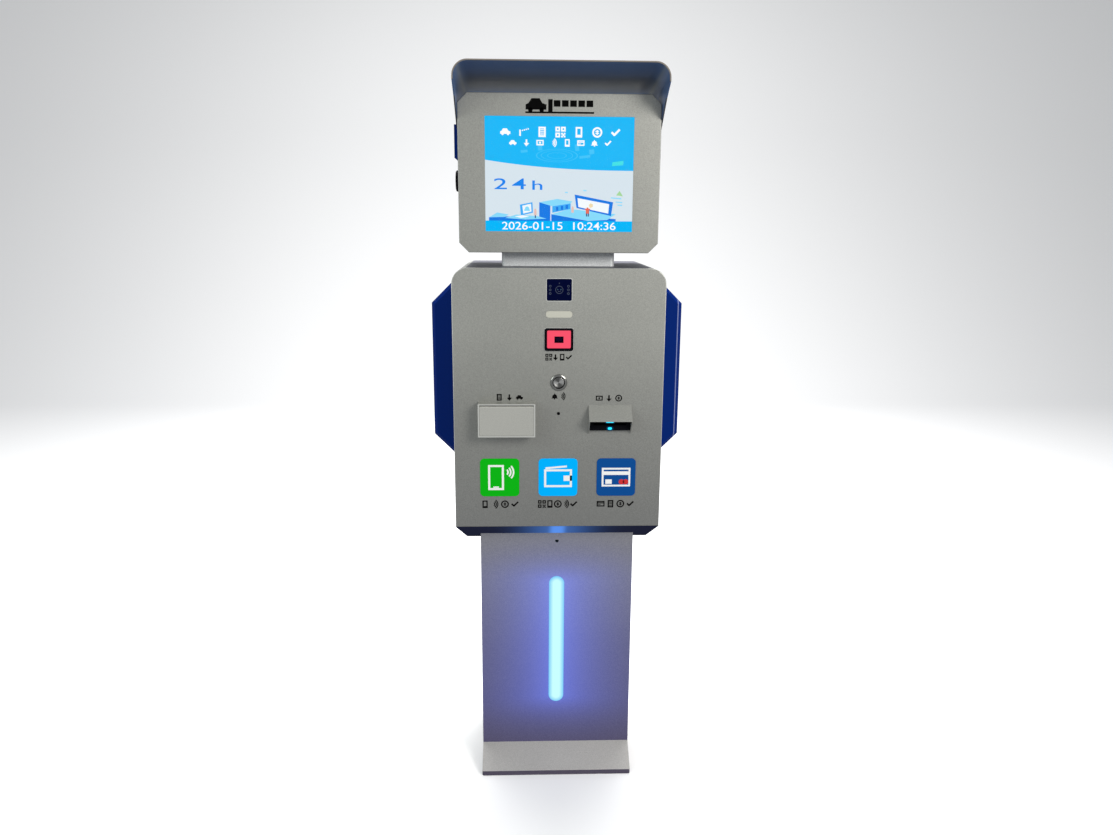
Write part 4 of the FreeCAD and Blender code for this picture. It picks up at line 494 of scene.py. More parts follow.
def car_sign(ink, x, z, size):
    ink.shape((x - 0.5 * size, z - 0.22 * size), (x + 0.5 * size, z - 0.22 * size),
              (x + 0.5 * size, z + 0.02 * size), (x + 0.3 * size, z + 0.08 * size),
              (x + 0.17 * size, z + 0.3 * size), (x - 0.22 * size, z + 0.3 * size),
              (x - 0.36 * size, z + 0.08 * size), (x - 0.5 * size, z + 0.02 * size))
    for side in (-1, 1):
        ink.disc(x + side * 0.27 * size, z - 0.24 * size, 0.11 * size, 16)


def boom_sign(ink, x, z, size):
    ink.bar(x - 0.36 * size, z - 0.1 * size, 0.16 * size, 0.6 * size)
    for step in range(4):
        ink.bar(x - 0.12 * size + step * 0.19 * size, z + 0.12 * size + step * 0.05 * size,
                0.12 * size, 0.12 * size, 0.25)


def ticket_sign(ink, x, z, size):
    ink.frame(x, z, 0.72 * size, 0.98 * size, 0.17 * size)
    for step in (-1, 0, 1):
        ink.bar(x, z + step * 0.2 * size, 0.34 * size, 0.1 * size)


def note_sign(ink, x, z, size):
    ink.frame(x, z, 1.0 * size, 0.72 * size, 0.16 * size)
    ink.disc(x, z, 0.14 * size, 16)


def phone_sign(ink, x, z, size):
    ink.frame(x, z, 0.66 * size, 1.0 * size, 0.16 * size)
    ink.bar(x, z - 0.30 * size, 0.34 * size, 0.12 * size)


def code_sign(ink, x, z, size):
    for across, up in ((-1, 1), (1, 1), (-1, -1)):
        ink.frame(x + across * 0.28 * size, z + up * 0.28 * size, 0.46 * size, 0.46 * size, 0.15 * size)
    for across, up in ((0.15, -0.15), (0.4, -0.15), (0.28, -0.28), (0.15, -0.42), (0.4, -0.42)):
        ink.bar(x + across * size, z + up * size, 0.17 * size, 0.17 * size)


def coin_sign(ink, x, z, size):
    ink.ring(x, z, 0.5 * size, 0.33 * size)
    ink.bar(x, z, 0.13 * size, 0.46 * size)
    ink.bar(x, z + 0.1 * size, 0.36 * size, 0.1 * size)
    ink.bar(x, z - 0.09 * size, 0.36 * size, 0.1 * size)


def card_sign(ink, x, z, size):
    ink.frame(x, z, 1.0 * size, 0.74 * size, 0.15 * size)
    ink.bar(x, z + 0.11 * size, 0.78 * size, 0.13 * size)
    ink.bar(x - 0.16 * size, z - 0.12 * size, 0.3 * size, 0.09 * size)


def bell_sign(ink, x, z, size):
    ink.ring(x, z - 0.05 * size, 0.34 * size, 0.02 * size, 0.0, math.pi, 16)
    ink.bar(x, z - 0.14 * size, 0.68 * size, 0.18 * size)
    ink.bar(x, z - 0.27 * size, 0.9 * size, 0.08 * size)
    ink.disc(x, z - 0.38 * size, 0.09 * size, 12)
    ink.bar(x, z + 0.34 * size, 0.1 * size, 0.14 * size)


def arrow_sign(ink, x, z, size):
    ink.bar(x, z + 0.12 * size, 0.22 * size, 0.6 * size)
    ink.shape((x, z - 0.5 * size), (x + 0.38 * size, z - 0.06 * size), (x - 0.38 * size, z - 0.06 * size))


def wave_sign(ink, x, z, size):
    for step in (1, 2, 3):
        ink.ring(x - 0.3 * size, z, (0.13 + 0.2 * step) * size, 0.2 * step * size, -0.95, 0.95, 10)


def tick_sign(ink, x, z, size):
    ink.bar(x - 0.24 * size, z - 0.12 * size, 0.44 * size, 0.21 * size, -math.pi / 4)
    ink.bar(x + 0.13 * size, z + 0.02 * size, 0.78 * size, 0.21 * size, math.pi / 4)


def sign_row(ink, x, z, width, height, signs):
    """Pictograms side by side about a point."""
    pitch = width / len(signs)
    for place, sign in enumerate(signs):
        sign(ink, x + (place - (len(signs) - 1) / 2) * pitch, z, height)


black_ink = painted("black_ink", (0.004, 0.004, 0.004), roughness=0.6, metallic=0.0, specular=0.0)
panel_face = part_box("front_panel")[0][1]
scan_low, scan_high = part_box("scanner_frame")
ring_low, ring_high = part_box("button_bezel")
ticket_low, ticket_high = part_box("ticket_hood")
note_low, note_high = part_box("note_hood")
ticket_x = (ticket_low[0] + ticket_high[0]) / 2
note_x = (note_low[0] + note_high[0]) / 2
badge_low, badge_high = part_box("payment_badges")
badge_size = badge_high[2] - badge_low[2]
badge_middle = (badge_low[2] + badge_high[2]) / 2
badge_places = [badge_low[0] + badge_size / 2, 0.0, badge_high[0] - badge_size / 2]
panel_ink = Print(panel_face)
sign_row(panel_ink, 0, scan_low[2] - 0.013, 0.056, 0.0142, (code_sign, arrow_sign, phone_sign, tick_sign))
sign_row(panel_ink, 0, ring_low[2] - 0.0115, 0.033, 0.0150, (bell_sign, wave_sign))
sign_row(panel_ink, ticket_x + 0.0055, ticket_high[2] + 0.0090, 0.064, 0.0148,
         (ticket_sign, arrow_sign, car_sign))
sign_row(panel_ink, note_x - 0.0025, note_high[2] + 0.0150, 0.062, 0.0148,
         (note_sign, arrow_sign, coin_sign))
badge_captions = ((phone_sign, wave_sign, coin_sign, tick_sign),
                  (code_sign, phone_sign, coin_sign, wave_sign, tick_sign),
                  (card_sign, ticket_sign, coin_sign, tick_sign))
for place, signs in zip(badge_places, badge_captions):
    sign_row(panel_ink, place, badge_low[2] - 0.0185, 0.086, 0.0172, signs)
panel_ink.piece("panel_signs", black_ink)


# ---------------------------------------------------------------- payment plates
# Three raised plates with printed film: green for the telephone, cyan for the purse, blue for the
# bank card.  The pictograms are white film on top, with two red discs on the card.
badge_film = painted("badge_film", (1, 1, 1), roughness=0.4, metallic=0.0, flake=0.02, specular=0.02)
film_tone = ramp_on(badge_film, maths(badge_film, "MULTIPLY_ADD", axis_of(badge_film, "X"), 2.0, 0.5),
                    (0.0, (0.004, 0.45, 0.008)), (0.37, (0.0, 0.44, 1.0)), (0.63, (0.005, 0.07, 0.28)))
film_tone.node.color_ramp.interpolation = "CONSTANT"
coloured(badge_film, film_tone)
dress(badge_film, "payment_badges")
white_film = painted("white_film", (0.9, 0.9, 0.9), roughness=0.35, metallic=0.0, flake=0.02)
badge_print = Print(badge_low[1])
left_x, middle_x, right_x = badge_places
telephone_x = left_x - 0.008
wave_pitch = 0.006
badge_print.frame(telephone_x, badge_middle, 0.034, 0.056, 0.0045)
badge_print.bar(telephone_x, badge_middle - 0.0215, 0.012, 0.003)
for step in (1, 2, 3):
    badge_print.ring(left_x + 0.010, badge_middle + 0.012, 0.0035 + wave_pitch * step, wave_pitch * step,
                     -0.75, 0.75, 10)
badge_print.frame(middle_x, badge_middle - 0.002, 0.060, 0.040, 0.0045)
badge_print.bar(middle_x + 0.021, badge_middle - 0.002, 0.018, 0.012)
badge_print.bar(middle_x - 0.004, badge_middle + 0.0225, 0.046, 0.004, 0.09)
badge_print.frame(right_x, badge_middle, 0.062, 0.042, 0.004)
badge_print.bar(right_x, badge_middle + 0.009, 0.054, 0.008)
badge_print.bar(right_x - 0.016, badge_middle - 0.010, 0.014, 0.010)
badge_print.piece("badge_signs", white_film)
red_film = painted("red_film", (0.62, 0.02, 0.02), roughness=0.35, metallic=0.0, flake=0.02)
card_corner = Print(badge_low[1])
for offset in (0.012, 0.021):
    card_corner.disc(right_x + offset, badge_middle - 0.0105, 0.006, 24)
card_corner.piece("card_discs", red_film)


# ---------------------------------------------------------------- camera
# Dark infrared window set flush in the panel with a painted highlight line round it; the lens ring, its
# light sensor and three lamps each side show in it, with two painted glints on the lens.  The module
# behind is moulded black plastic.
window_glass = painted("window_glass", (0.0005, 0.002, 0.024), roughness=0.12, metallic=0.0, specular=0.03)
dress(window_glass, "camera_window")
dress(black_plastic, "camera_module")
window_low, window_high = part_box("camera_window")
window_x = (window_low[0] + window_high[0]) / 2
window_z = (window_low[2] + window_high[2]) / 2
lens_grey = painted("lens_grey", (0.05, 0.065, 0.11), roughness=0.3, metallic=0.3)
lens_print = Print(window_low[1])
lens_print.ring(window_x, window_z, 0.0082, 0.0070)
lens_print.ring(window_x, window_z, 0.0040, 0.0030, 3.6, 5.8, 12)
lens_print.disc(window_x, window_z + 0.0135, 0.0012, 12)
for side in (-1, 1):
    for row in (-1, 0, 1):
        lens_print.ring(window_x + side * 0.0188, window_z + row * 0.0075, 0.0026, 0.0014, sides=12)
lens_print.piece("camera_lens_marks", lens_grey)
# Two painted glints on the lens.
lens_shine = painted("lens_shine", (0.10, 0.22, 0.30), roughness=0.2, metallic=0.2)
shine_print = Print(window_low[1])
for side in (-1, 1):
    shine_print.bar(window_x + side * 0.0035, window_z + 0.001, 0.0022, 0.0008, side * 0.9)
shine_print.piece("camera_lens_shine", lens_shine)
window_gap = 0.0003
highlight_line = 0.0009
# A painted highlight line round the window's cut-out.
window_highlight = Print(panel_face)
highlight_line_paint = painted("highlight_line_paint", (0.75, 0.76, 0.74), roughness=0.4)
window_highlight.round_frame(window_x, window_z, window_high[0] - window_low[0] + 2 * window_gap,
                        window_high[2] - window_low[2] + 2 * window_gap, 0.003, highlight_line)
window_highlight.piece("camera_window_highlight", highlight_line_paint)


# ---------------------------------------------------------------- call light
# Opal plastic pill, unlit, clipped in from behind the panel.
opal = painted("opal_plastic", (0.52, 0.515, 0.45), roughness=0.35, metallic=0.0, flake=0.02, specular=0.2)
dress(opal, "light_bar_lens")


# ---------------------------------------------------------------- code scanner
# Black moulded frame round a red-lit diffusing window, with a painted highlight line round it; the
# reading core is a dark slot in the middle, printed like the window's dark border.
dress(black_plastic, "scanner_frame", "scanner_engine")
scan_glow = lit("scan_glow", (0.95, 0.085, 0.15), 1.0, roughness=0.25)
dress(scan_glow, "scanner_window")
scan_window_low, scan_window_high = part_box("scanner_window")
scan_z = (scan_window_low[2] + scan_window_high[2]) / 2
# A painted highlight line round the scanner's cut-out.
scanner_highlight = Print(panel_face)
scanner_highlight.round_frame(0, scan_z, scan_high[0] - scan_low[0], scan_high[2] - scan_low[2], 0.005,
                         highlight_line)
scanner_highlight.piece("scanner_highlight", highlight_line_paint)
core_black = painted("core_black", (0.004, 0.001, 0.004), roughness=0.4, metallic=0.0, specular=0.0)
core_print = Print(scan_window_low[1])
core_print.bar(0, scan_z, 0.0190, 0.0135)
core_print.round_frame(0, scan_z + 0.0006, 0.0495, 0.0372, 0.0026, 0.0030)
core_print.piece("scanner_core", core_black)
core_lens = painted("core_lens", (0.008, 0.002, 0.014), roughness=0.2, metallic=0.0, specular=0.02)
core_lens_print = Print(scan_window_low[1] - core_print.thickness)
core_lens_print.bar(0, scan_z + 0.001, 0.0125, 0.0075)
core_lens_print.piece("scanner_core_lens", core_lens)


# ---------------------------------------------------------------- help button
# Turned steel: a polished ring, with painted shade in its groove and painted reflection bands, and a
# dished cap, with a painted two-lobed highlight, that travels two millimetres against a small coil spring.
chrome = painted("polished_steel", (0.62, 0.62, 0.60), roughness=0.16, metallic=1.0, flake=0.03)
dress(chrome, "ticket_flap_pin", "cabinet_lock", "head_lock")
button_x = (ring_low[0] + ring_high[0]) / 2
button_z = (ring_low[2] + ring_high[2]) / 2
cap_steel = painted("cap_steel_highlit", (0.42, 0.42, 0.40), roughness=0.28, metallic=1.0, flake=0.05)
cap_x = maths(cap_steel, "SUBTRACT", axis_of(cap_steel, "X"), button_x)
cap_z = maths(cap_steel, "SUBTRACT", axis_of(cap_steel, "Z"), button_z)
fan_angle = maths(cap_steel, "ARCTAN2", cap_z, cap_x)
# The cap's two bright lobes are a painted highlight.
highlight_lobes = maths(cap_steel, "MULTIPLY_ADD", maths(cap_steel, "SINE", maths(
    cap_steel, "MULTIPLY_ADD", fan_angle, 2.0, 0.9)), 0.5, 0.5)
cap_highlight_tone = ramp_on(cap_steel, highlight_lobes, (0.15, (0.16, 0.16, 0.155)), (0.95, (0.62, 0.62, 0.60)))
coloured(cap_steel, cap_highlight_tone)


def turned(outline, closed):
    """A part turned about the button's axis, from points that are a radius and a depth."""
    mesh = bmesh.new()
    points = [mesh.verts.new((radius, depth, 0)) for radius, depth in outline]
    following = points[1:] + points[:1] if closed else points[1:]
    edges = [mesh.edges.new(pair) for pair in zip(points, following)]
    bmesh.ops.spin(mesh, geom=points + edges, cent=(0, 0, 0), axis=(0, 1, 0), dvec=(0, 0, 0),
                   angle=2 * math.pi, steps=64, use_merge=True, use_duplicate=False)
    bmesh.ops.remove_doubles(mesh, verts=mesh.verts, dist=1e-6)
    bmesh.ops.recalc_face_normals(mesh, faces=mesh.faces)
    return mesh


cap_low, cap_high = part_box("help_button")
cap_radius = (cap_high[0] - cap_low[0]) / 2
cap_profile = ((0.0, 0.0016), (0.35, 0.0014), (0.62, 0.0008), (0.78, 0.0002), (0.86, 0.0),
               (0.95, 0.0003), (1.0, 0.0010))
cap_depth = 0.011
stem_radius = 0.004
stem_end = 0.0152
cap_back = ((cap_radius, cap_depth), (stem_radius, cap_depth), (stem_radius, stem_end), (0.0, stem_end))
cap_mesh = turned([(share * cap_radius, depth) for share, depth in cap_profile] + list(cap_back), False)
bmesh.ops.translate(cap_mesh, vec=(button_x, cap_low[1], button_z), verts=cap_mesh.verts)
dished_cap = finished("dished_cap", cap_mesh, cap_steel, "help_cap", math.radians(35))
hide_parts("help_button")

# The return spring is one coil of round wire.
spring_low, spring_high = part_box("button_spring")
spring_wire = 0.00054
spring_turns = 3
spring_steps = 32 * spring_turns
spring_length = spring_high[1] - spring_low[1]
coil_radius = (spring_high[0] - spring_low[0]) / 2 - spring_wire
spring_mesh = bmesh.new()
wire_section = bmesh.ops.create_circle(spring_mesh, segments=10, radius=spring_wire,
                                       matrix=Matrix.Translation((coil_radius, 0, 0)))["verts"]
bmesh.ops.spin(spring_mesh, geom=wire_section + list(spring_mesh.edges), cent=(0, 0, 0), axis=(0, 1, 0),
               dvec=(0, (spring_length - 2 * spring_wire) / spring_steps, 0),
               angle=2 * math.pi * spring_turns, steps=spring_steps, use_duplicate=False)
bmesh.ops.holes_fill(spring_mesh, edges=[edge for edge in spring_mesh.edges if edge.is_boundary], sides=0)
bmesh.ops.recalc_face_normals(spring_mesh, faces=spring_mesh.faces)
bmesh.ops.translate(spring_mesh, vec=(button_x, spring_low[1] + spring_wire, button_z),
                    verts=spring_mesh.verts)
return_spring = finished("return_spring", spring_mesh, chrome, "root", math.radians(60))
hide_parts("button_spring")
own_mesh(return_spring)

# The ring is one turned piece: a rounded flange on the panel and a barrel through it.
ring_radius = (ring_high[0] - ring_low[0]) / 2
ring_front = ring_low[1]
flange_t = panel_face - ring_front
barrel_wall = 0.003
cap_clearance = 0.00005
bore_radius = cap_radius + cap_clearance
barrel_end = ring_high[1] - ring_front
ring_profile = ((bore_radius, 0.0006), (bore_radius + 0.0006, 0.0001), (bore_radius + 0.0014, 0.0),
                (bore_radius + 0.0028, 0.0002), (ring_radius - 0.0012, 0.0008),
                (ring_radius - 0.0004, 0.0015), (ring_radius, 0.0024), (ring_radius, flange_t),
                (bore_radius + barrel_wall, flange_t), (bore_radius + barrel_wall, barrel_end),
                (bore_radius, barrel_end))
ring_mesh = turned(ring_profile, True)
bmesh.ops.translate(ring_mesh, vec=(button_x, ring_front, button_z), verts=ring_mesh.verts)
ring_steel = painted("ring_steel", (0.5, 0.5, 0.5), roughness=0.2, metallic=1.0, flake=0.03)
ring_x = maths(ring_steel, "SUBTRACT", axis_of(ring_steel, "X"), button_x)
ring_z = maths(ring_steel, "SUBTRACT", axis_of(ring_steel, "Z"), button_z)
ring_reach = maths(ring_steel, "SQRT", maths(ring_steel, "ADD", maths(ring_steel, "MULTIPLY", ring_x, ring_x),
                                             maths(ring_steel, "MULTIPLY", ring_z, ring_z)))
ring_share = maths(ring_steel, "DIVIDE", maths(ring_steel, "SUBTRACT", ring_reach, bore_radius),
                   ring_radius - bore_radius)
# Painted shade in the groove by the bore, and painted reflection bands across the ring.
ring_shade_and_reflection = ramp_on(ring_steel, ring_share, (0.14, (0.02, 0.02, 0.02)), (0.95, (0.34, 0.34, 0.32)),
                    (0.26, (0.38, 0.38, 0.36)), (0.62, (0.26, 0.26, 0.25)))
coloured(ring_steel, ring_shade_and_reflection)
turned_ring = finished("turned_ring", ring_mesh, ring_steel, "root", math.radians(35))
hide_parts("button_bezel")


# ---------------------------------------------------------------- ticket outlet
# Bent hood in silver paint with a painted highlight along its front edge, and a flat flap that hangs
# from a pin between its cheeks.
flap_paint = painted("flap_paint", (0.54, 0.54, 0.50), roughness=0.38, metallic=0.5)
outlet_paint = painted("outlet_paint", (0.46, 0.464, 0.432), roughness=0.4, metallic=0.6)
# A painted highlight along the hood's front edge.
front_highlight_depth = 0.0012
edged(outlet_paint, maths(outlet_paint, "LESS_THAN", axis_of(outlet_paint, "Y"), ticket_low[1] + front_highlight_depth),
      (0.66, 0.665, 0.63))
dress(outlet_paint, "ticket_hood")
dress(flap_paint, "ticket_flap")


# ---------------------------------------------------------------- banknote inlet
# Pointed hood in the silver paint over a black mouth; two small cyan lamps show where the note goes.
dress(silver_paint, "note_hood")
dress(black_plastic, "note_validator")
mouth_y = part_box("note_validator")[0][1]
wide_lamp_z = note_high[2] - 0.0355
round_lamp_z = note_high[2] - 0.0495


def pill_lamp(layer_print, z, length, height):
    """A bar with round ends."""
    layer_print.bar(note_x, z, length - height, height)
    for end in (-1, 1):
        layer_print.disc(note_x + end * (length - height) / 2, z, height / 2, 20)


# A painted glow round the lamps on the black mouth.
lamp_halo = Print(mouth_y)
pill_lamp(lamp_halo, wide_lamp_z, 0.022, 0.006)
pill_lamp(lamp_halo, round_lamp_z, 0.016, 0.010)
lamp_halo.piece("note_lamp_halo", lit("lamp_halo", (0.0, 0.02, 0.06), 1.0))
lamp_cores = Print(mouth_y - 0.0001)
pill_lamp(lamp_cores, wide_lamp_z, 0.016, 0.003)
pill_lamp(lamp_cores, round_lamp_z, 0.009, 0.0055)
lamp_cores.piece("note_lamps", lit("cyan_lamp", (0.02, 0.75, 1.0), 1.3))


# ---------------------------------------------------------------- head, bezel and neck
# The head is the same silver sheet with a slightly darker bezel, on a neck whose paint is made pale as
# painted light against the head's shadow; a black emblem of a car behind a boom is printed above the
# screen.
bezel_paint = painted("bezel_paint", (0.365, 0.369, 0.343), roughness=0.42, metallic=0.6)
dress(bezel_paint, "head_bezel")
dress(silver_paint, "head_shell", "head_rear_door")
# The neck's pale paint is painted light against the head's shadow.
neck_paint = painted("neck_paint", (0.68, 0.70, 0.71), roughness=0.45, metallic=0.3)
dress(neck_paint, "neck")
bezel_low, bezel_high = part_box("head_bezel")
emblem = Print(bezel_low[1])
emblem_z = bezel_high[2] - 0.025
car_sign(emblem, -0.048, emblem_z + 0.002, 0.042)
emblem.bar(-0.019, emblem_z + 0.001, 0.009, 0.024)
boom_pitch = 0.0165
for step in range(5):
    emblem.bar(step * boom_pitch - 0.0055, emblem_z + 0.005, 0.0135, 0.0125)
emblem.bar(0, emblem_z - 0.0125, 0.139, 0.0035)
emblem.piece("head_emblem", black_ink)


# ---------------------------------------------------------------- screen
# Liquid crystal panel behind clear cover glass.  Its picture is built of thin lit layers: a cyan sky
# with headline pictograms over a pale page, a sketch of a service desk, and a clock bar below.
glass_low, glass_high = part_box("display_glass")
display_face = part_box("display_panel")[0][1]
screen_half_w = 0.152
screen_half_z = 0.114
screen_z = (glass_low[2] + glass_high[2]) / 2
page_margin = 0.002
layer = 0.0001


def screen_layer(level):
    """An empty lit layer in front of the panel."""
    return Print(display_face - level * layer, layer * 0.9)


def at(u, v):
    """A point of the picture, in millimetres from its middle."""
    return u / 1000, screen_z + v / 1000


def picture(name, level, material, *outlines):
    """Filled outlines of the picture as one lit layer."""
    drawn = screen_layer(level)
    for outline in outlines:
        drawn.shape(*[at(u, v) for u, v in outline])
    drawn.piece(name, material)


page = screen_layer(0)
page.bar(0, screen_z, 2 * (screen_half_w + page_margin), 2 * (screen_half_z + page_margin))
page.piece("screen_page", lit("page_light", (0.70, 0.80, 0.87), 0.98))
horizon = [(u, 9 + 20 * ((154 - u) / 308) ** 2.4) for u in range(154, -155, -11)]
picture("screen_sky", 1, lit("sky_light", (0.012, 0.49, 0.96), 0.98), ((-154, 116), (154, 116), *horizon))
deep_blue = lit("deep_blue_light", (0.01, 0.20, 0.80), 0.98)
mid_blue = lit("mid_blue_light", (0.05, 0.42, 0.95), 0.98)
soft_cyan = lit("soft_cyan_light", (0.25, 0.72, 0.98), 0.98)
white_light = lit("white_light", (1.0, 1.0, 1.0), 1.0)

headline = screen_layer(3)
sign_row(headline, *at(2, 84), 0.262, 0.0205,
         (car_sign, boom_sign, ticket_sign, code_sign, phone_sign, coin_sign, tick_sign))
sign_row(headline, *at(2, 63), 0.222, 0.0148,
         (car_sign, arrow_sign, note_sign, wave_sign, phone_sign, card_sign, bell_sign, tick_sign))
headline.piece("screen_headline", white_light)

roundabout = screen_layer(2)
for radius, line in ((43, 2.4), (33, 1.6), (20, 1.6)):
    steps = [step * math.pi / 24 for step in range(49)]
    for first, last in zip(steps, steps[1:]):
        roundabout.shape(*[at(-5 + reach * math.cos(angle), 38 + 0.3 * reach * math.sin(angle))
                           for reach, angle in ((radius - line, first), (radius, first),
                                                (radius, last), (radius - line, last))])
houses = ((-72, 46, 14, 5), (-40, 56, 9, 16), (36, 54, 8, 13), (52, 36, 22, 5), (66, 46, 10, 9))
for u, v, width, height in houses:
    roundabout.bar(*at(u, v), width / 1000, height / 1000, 0.12)
roundabout.piece("screen_roundabout", lit("roundabout_light", (0.06, 0.57, 0.98), 0.98))
picture("screen_voucher", 3, lit("voucher_light", (0.06, 0.75, 0.80), 0.98),
        ((108, 18), (131, 20), (132, 29), (109, 26)))


def digits(name, text, u, v, height, stretch, material, spacing=1.0):
    """Plain figures from the built-in face, as a thin lit layer."""
    curve_data = bpy.data.curves.new(name, "FONT")
    curve_data.body = text
    curve_data.size = 1.0
    curve_data.align_x = "CENTER"
    curve_data.align_y = "CENTER"
    curve_data.extrude = 0.5 * layer / height * 1000
    curve_data.space_character = spacing
    curve_data.offset = 0.004
    figure_level = 4
    writer = bpy.data.objects.new(name, curve_data)
    bpy.context.scene.collection.objects.link(writer)
    data = bpy.data.meshes.new_from_object(writer)
    bpy.data.objects.remove(writer)
    x, z = at(u, v)
    size = height / 1000
    data.transform(Matrix.Translation((x, display_face - (figure_level + 0.5) * layer, z))
                   @ Matrix.Rotation(math.pi / 2, 4, "X") @ Matrix.Diagonal((size * stretch, size, size, 1)))
    data.materials.clear()
    data.materials.append(material)
    piece = bpy.data.objects.new(name, data)
    bpy.context.scene.collection.objects.link(piece)
    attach(piece, "root")


hours_blue = lit("hours_blue", (0.01, 0.24, 0.88), 0.98)
digits("screen_hours", "24", -101.5, -20, 31, 1.95, hours_blue, 1.28)
digits("screen_hours_unit", "h", -45, -22, 27, 2.0, hours_blue)
digits("screen_clock", "2026-01-15  10:24:36", 0, -103.5, 22, 1.25, white_light)

picture("screen_clock_bar", 2, lit("clock_bar_light", (0.0, 0.48, 0.98), 0.98),
        ((-154, -116), (154, -116), (154, -92.5), (-154, -92.5)))
picture("screen_block_fronts", 2, deep_blue,
        ((-120, -92.5), (-96, -92.5), (-96, -84), (-112, -84), (-145, -86), (-145, -92.5)),
        ((-112, -92.5), (-26, -92.5), (-26, -88), (-70, -84), (-112, -87)),
        ((-41, -92.5), (-41, -55), (-18, -58), (-18, -92.5)),
        ((-16, -92.5), (-16, -79), (118, -88), (118, -92.5)))
picture("screen_block_tops", 3, soft_cyan,
        ((-145, -86), (-128, -76), (-104, -80), (-112, -85)),
        ((-112, -87), (-88, -80), (-44, -83), (-26, -88), (-70, -90)),
        ((-41, -55), (-4, -48), (28, -53), (22, -58), (-14, -63)),
        ((-16, -79), (22, -68), (118, -78), (100, -90), (60, -92)))
picture("screen_block_sides", 4, mid_blue, ((-14, -63), (24, -57), (24, -68), (-14, -76)))
hall_windows = screen_layer(5)
for step in range(3):
    hall_windows.bar(*at(-4 + step * 10, -68 + step * 2), 0.005, 0.008)
hall_windows.piece("screen_hall_windows", deep_blue)

picture("screen_board_edge", 5, deep_blue, ((32, -39), (112, -54), (108, -82), (100, -80), (36, -66)))
picture("screen_board_face", 6, lit("pale_light", (0.92, 0.97, 1.0), 0.98),
        ((38, -46), (104, -58), (102, -77), (40, -64)),
        ((-76, -62), (-58, -58), (-57, -74), (-74, -78)),
        ((-92, -84), (-76, -81), (-62, -84), (-78, -87)))
picture("screen_desk_screen", 5, mid_blue, ((-81, -60), (-55, -55), (-54, -76), (-79, -82)))
desk_cloud = screen_layer(7)
desk_cloud.disc(*at(-66, -68), 0.0045, 20)
desk_cloud.bar(*at(-66, -71), 0.012, 0.003)
desk_cloud.piece("screen_desk_cloud", soft_cyan)

people = screen_layer(7)
for u, v in ((28, -71), (-49, -76)):
    people.disc(*at(u, v + 6), 0.0021, 12)
    people.bar(*at(u, v), 0.005, 0.009)
people.piece("screen_people", lit("people_light", (0.86, 0.55, 0.50), 0.95))
reader = screen_layer(7)
reader.disc(*at(59, -67), 0.0021, 12)
reader.bar(*at(59, -73.5), 0.007, 0.008)
reader.bar(*at(59, -68.5), 0.011, 0.0022)
reader.piece("screen_reader", lit("reader_light", (0.85, 0.16, 0.10), 0.95))
trousers = screen_layer(7)
for u, v in ((57.2, -80), (60.8, -80), (-49, -84)):
    trousers.bar(*at(u, v), 0.0022, 0.006)
trousers.piece("screen_trousers", lit("trouser_light", (0.03, 0.05, 0.20), 0.95))
star = screen_layer(7)
star.disc(*at(66, -61), 0.0048, 5)
star.piece("screen_star", lit("star_light", (0.92, 0.75, 0.45), 0.95))
picture("screen_tree", 3, lit("tree_light", (0.40, 0.72, 0.35), 0.95), ((118, -40), (132, -42), (125, -31)))
dashes = screen_layer(3)
for u, v, width in ((15, -35, 6), (53, -31, 7), (118, -46, 22), (124, -54, 14), (126, -60, 10)):
    dashes.bar(*at(u, v), width / 1000, 0.0022, -0.08)
dashes.piece("screen_dashes", soft_cyan)
dress(black_plastic, "display_panel")

clear_glass = bpy.data.materials.new("clear_glass")
clear_glass.use_nodes = True
glass_shader = shader_of(clear_glass)
glass_shader.inputs["Base Color"].default_value = (1, 1, 1, 1)
glass_shader.inputs["Roughness"].default_value = 0.02
glass_shader.inputs["Transmission Weight"].default_value = 1.0
glass_shader.inputs["IOR"].default_value = 1.05
cover_mesh = bmesh.new()
bmesh.ops.create_cube(cover_mesh, size=1.0)
cover_t = 0.0016
bmesh.ops.scale(cover_mesh, vec=(glass_high[0] - glass_low[0], cover_t, glass_high[2] - glass_low[2]),
                verts=cover_mesh.verts)
bmesh.ops.translate(cover_mesh, vec=(0, glass_low[1] + cover_t / 2, screen_z), verts=cover_mesh.verts)
bmesh.ops.bevel(cover_mesh, geom=cover_mesh.edges[:], offset=0.0003, segments=2, profile=0.5,
                affect="EDGES", material=-1)
cover_glass = finished("cover_glass", cover_mesh, clear_glass)
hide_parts("display_glass")


# ---------------------------------------------------------------- sun hood
# Bent sheet, slate outside and painted dark blue inside as a painted reflection, screwed to the head's
# sides on spacers.  A painted sheen runs along the folds, and a painted highlight along the cut front
# edge.
# The dark blue is a painted reflection inside; the outside is slate.
hood_paint = painted("hood_paint", (0.075, 0.130, 0.265), roughness=0.3, metallic=0.0, flake=0.06,
                     specular=0.05)
hood_low, hood_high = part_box("hood")
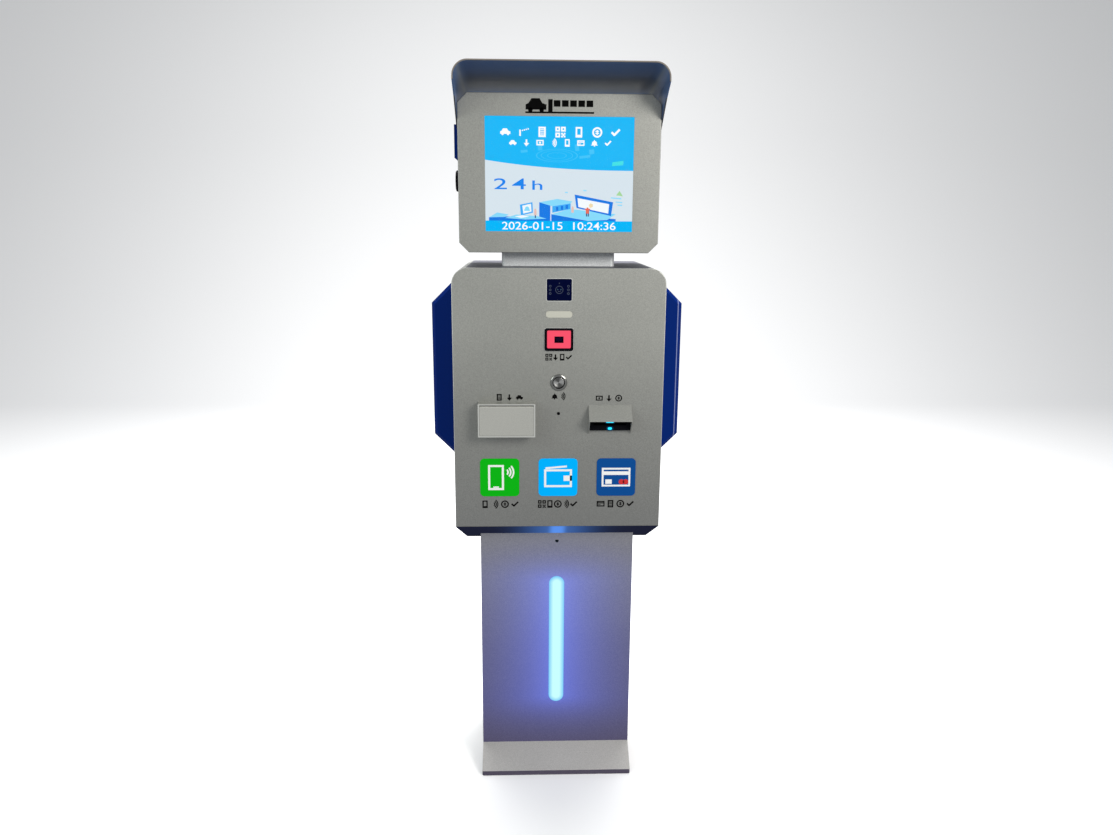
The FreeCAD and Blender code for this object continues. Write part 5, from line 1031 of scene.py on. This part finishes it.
# A painted sheen along the folds.
fold_x = hood_high[0] - 0.011
fold_width = 0.0035
from_fold = maths(hood_paint, "DIVIDE", maths(hood_paint, "SUBTRACT", maths(
    hood_paint, "ABSOLUTE", axis_of(hood_paint, "X")), fold_x), fold_width)
sheen = faded(hood_paint, maths(hood_paint, "MULTIPLY", from_fold, from_fold))
edged(hood_paint, maths(hood_paint, "MULTIPLY", sheen, 0.7), (0.16, 0.20, 0.26))
from_axis = hood_paint.node_tree.nodes.new("ShaderNodeVectorMath")
from_axis.operation = "SUBTRACT"
from_axis.inputs[1].default_value = (0, (hood_low[1] + hood_high[1]) / 2, hood_low[2])
outward = hood_paint.node_tree.nodes.new("ShaderNodeVectorMath")
outward.operation = "DOT_PRODUCT"
hood_place = hood_paint.node_tree.nodes.new("ShaderNodeTexCoord")
hood_paint.node_tree.links.new(hood_place.outputs["Object"], from_axis.inputs[0])
hood_paint.node_tree.links.new(from_axis.outputs["Vector"], outward.inputs[0])
hood_paint.node_tree.links.new(hood_place.outputs["Normal"], outward.inputs[1])
edged(hood_paint, maths(hood_paint, "GREATER_THAN", outward.outputs["Value"], 0.0), (0.058, 0.060, 0.068))
# A painted highlight along the cut front edge.
edged(hood_paint, maths(hood_paint, "LESS_THAN", axis_of(hood_paint, "Y"), hood_low[1] + front_highlight_depth),
      (0.20, 0.18, 0.16))
dress(hood_paint, "hood")


# ---------------------------------------------------------------- rear doors and the inside
# Plain sheet doors on lift-off hinges; the equipment behind them is grey and black plastic and zinc.
grey_plastic = painted("grey_plastic", (0.42, 0.43, 0.43), roughness=0.45, metallic=0.0, flake=0.04)
dress(grey_plastic, "controller", "circuit_breaker", "cash_box")
bare_aluminium = painted("bare_aluminium", (0.6, 0.6, 0.6), roughness=0.4, metallic=1.0)
dress(bare_aluminium, "power_supply")
paper = painted("paper", (0.82, 0.81, 0.77), roughness=0.8, metallic=0.0, flake=0.02)
dress(paper, "paper_roll")
board_green = painted("board_green", (0.02, 0.16, 0.06), roughness=0.4, metallic=0.0)
dress(board_green, "strip_led_board")
dress(black_plastic, "ticket_printer", "platen_roller", "breaker_lever", "fan_frame", "fan_rotor")
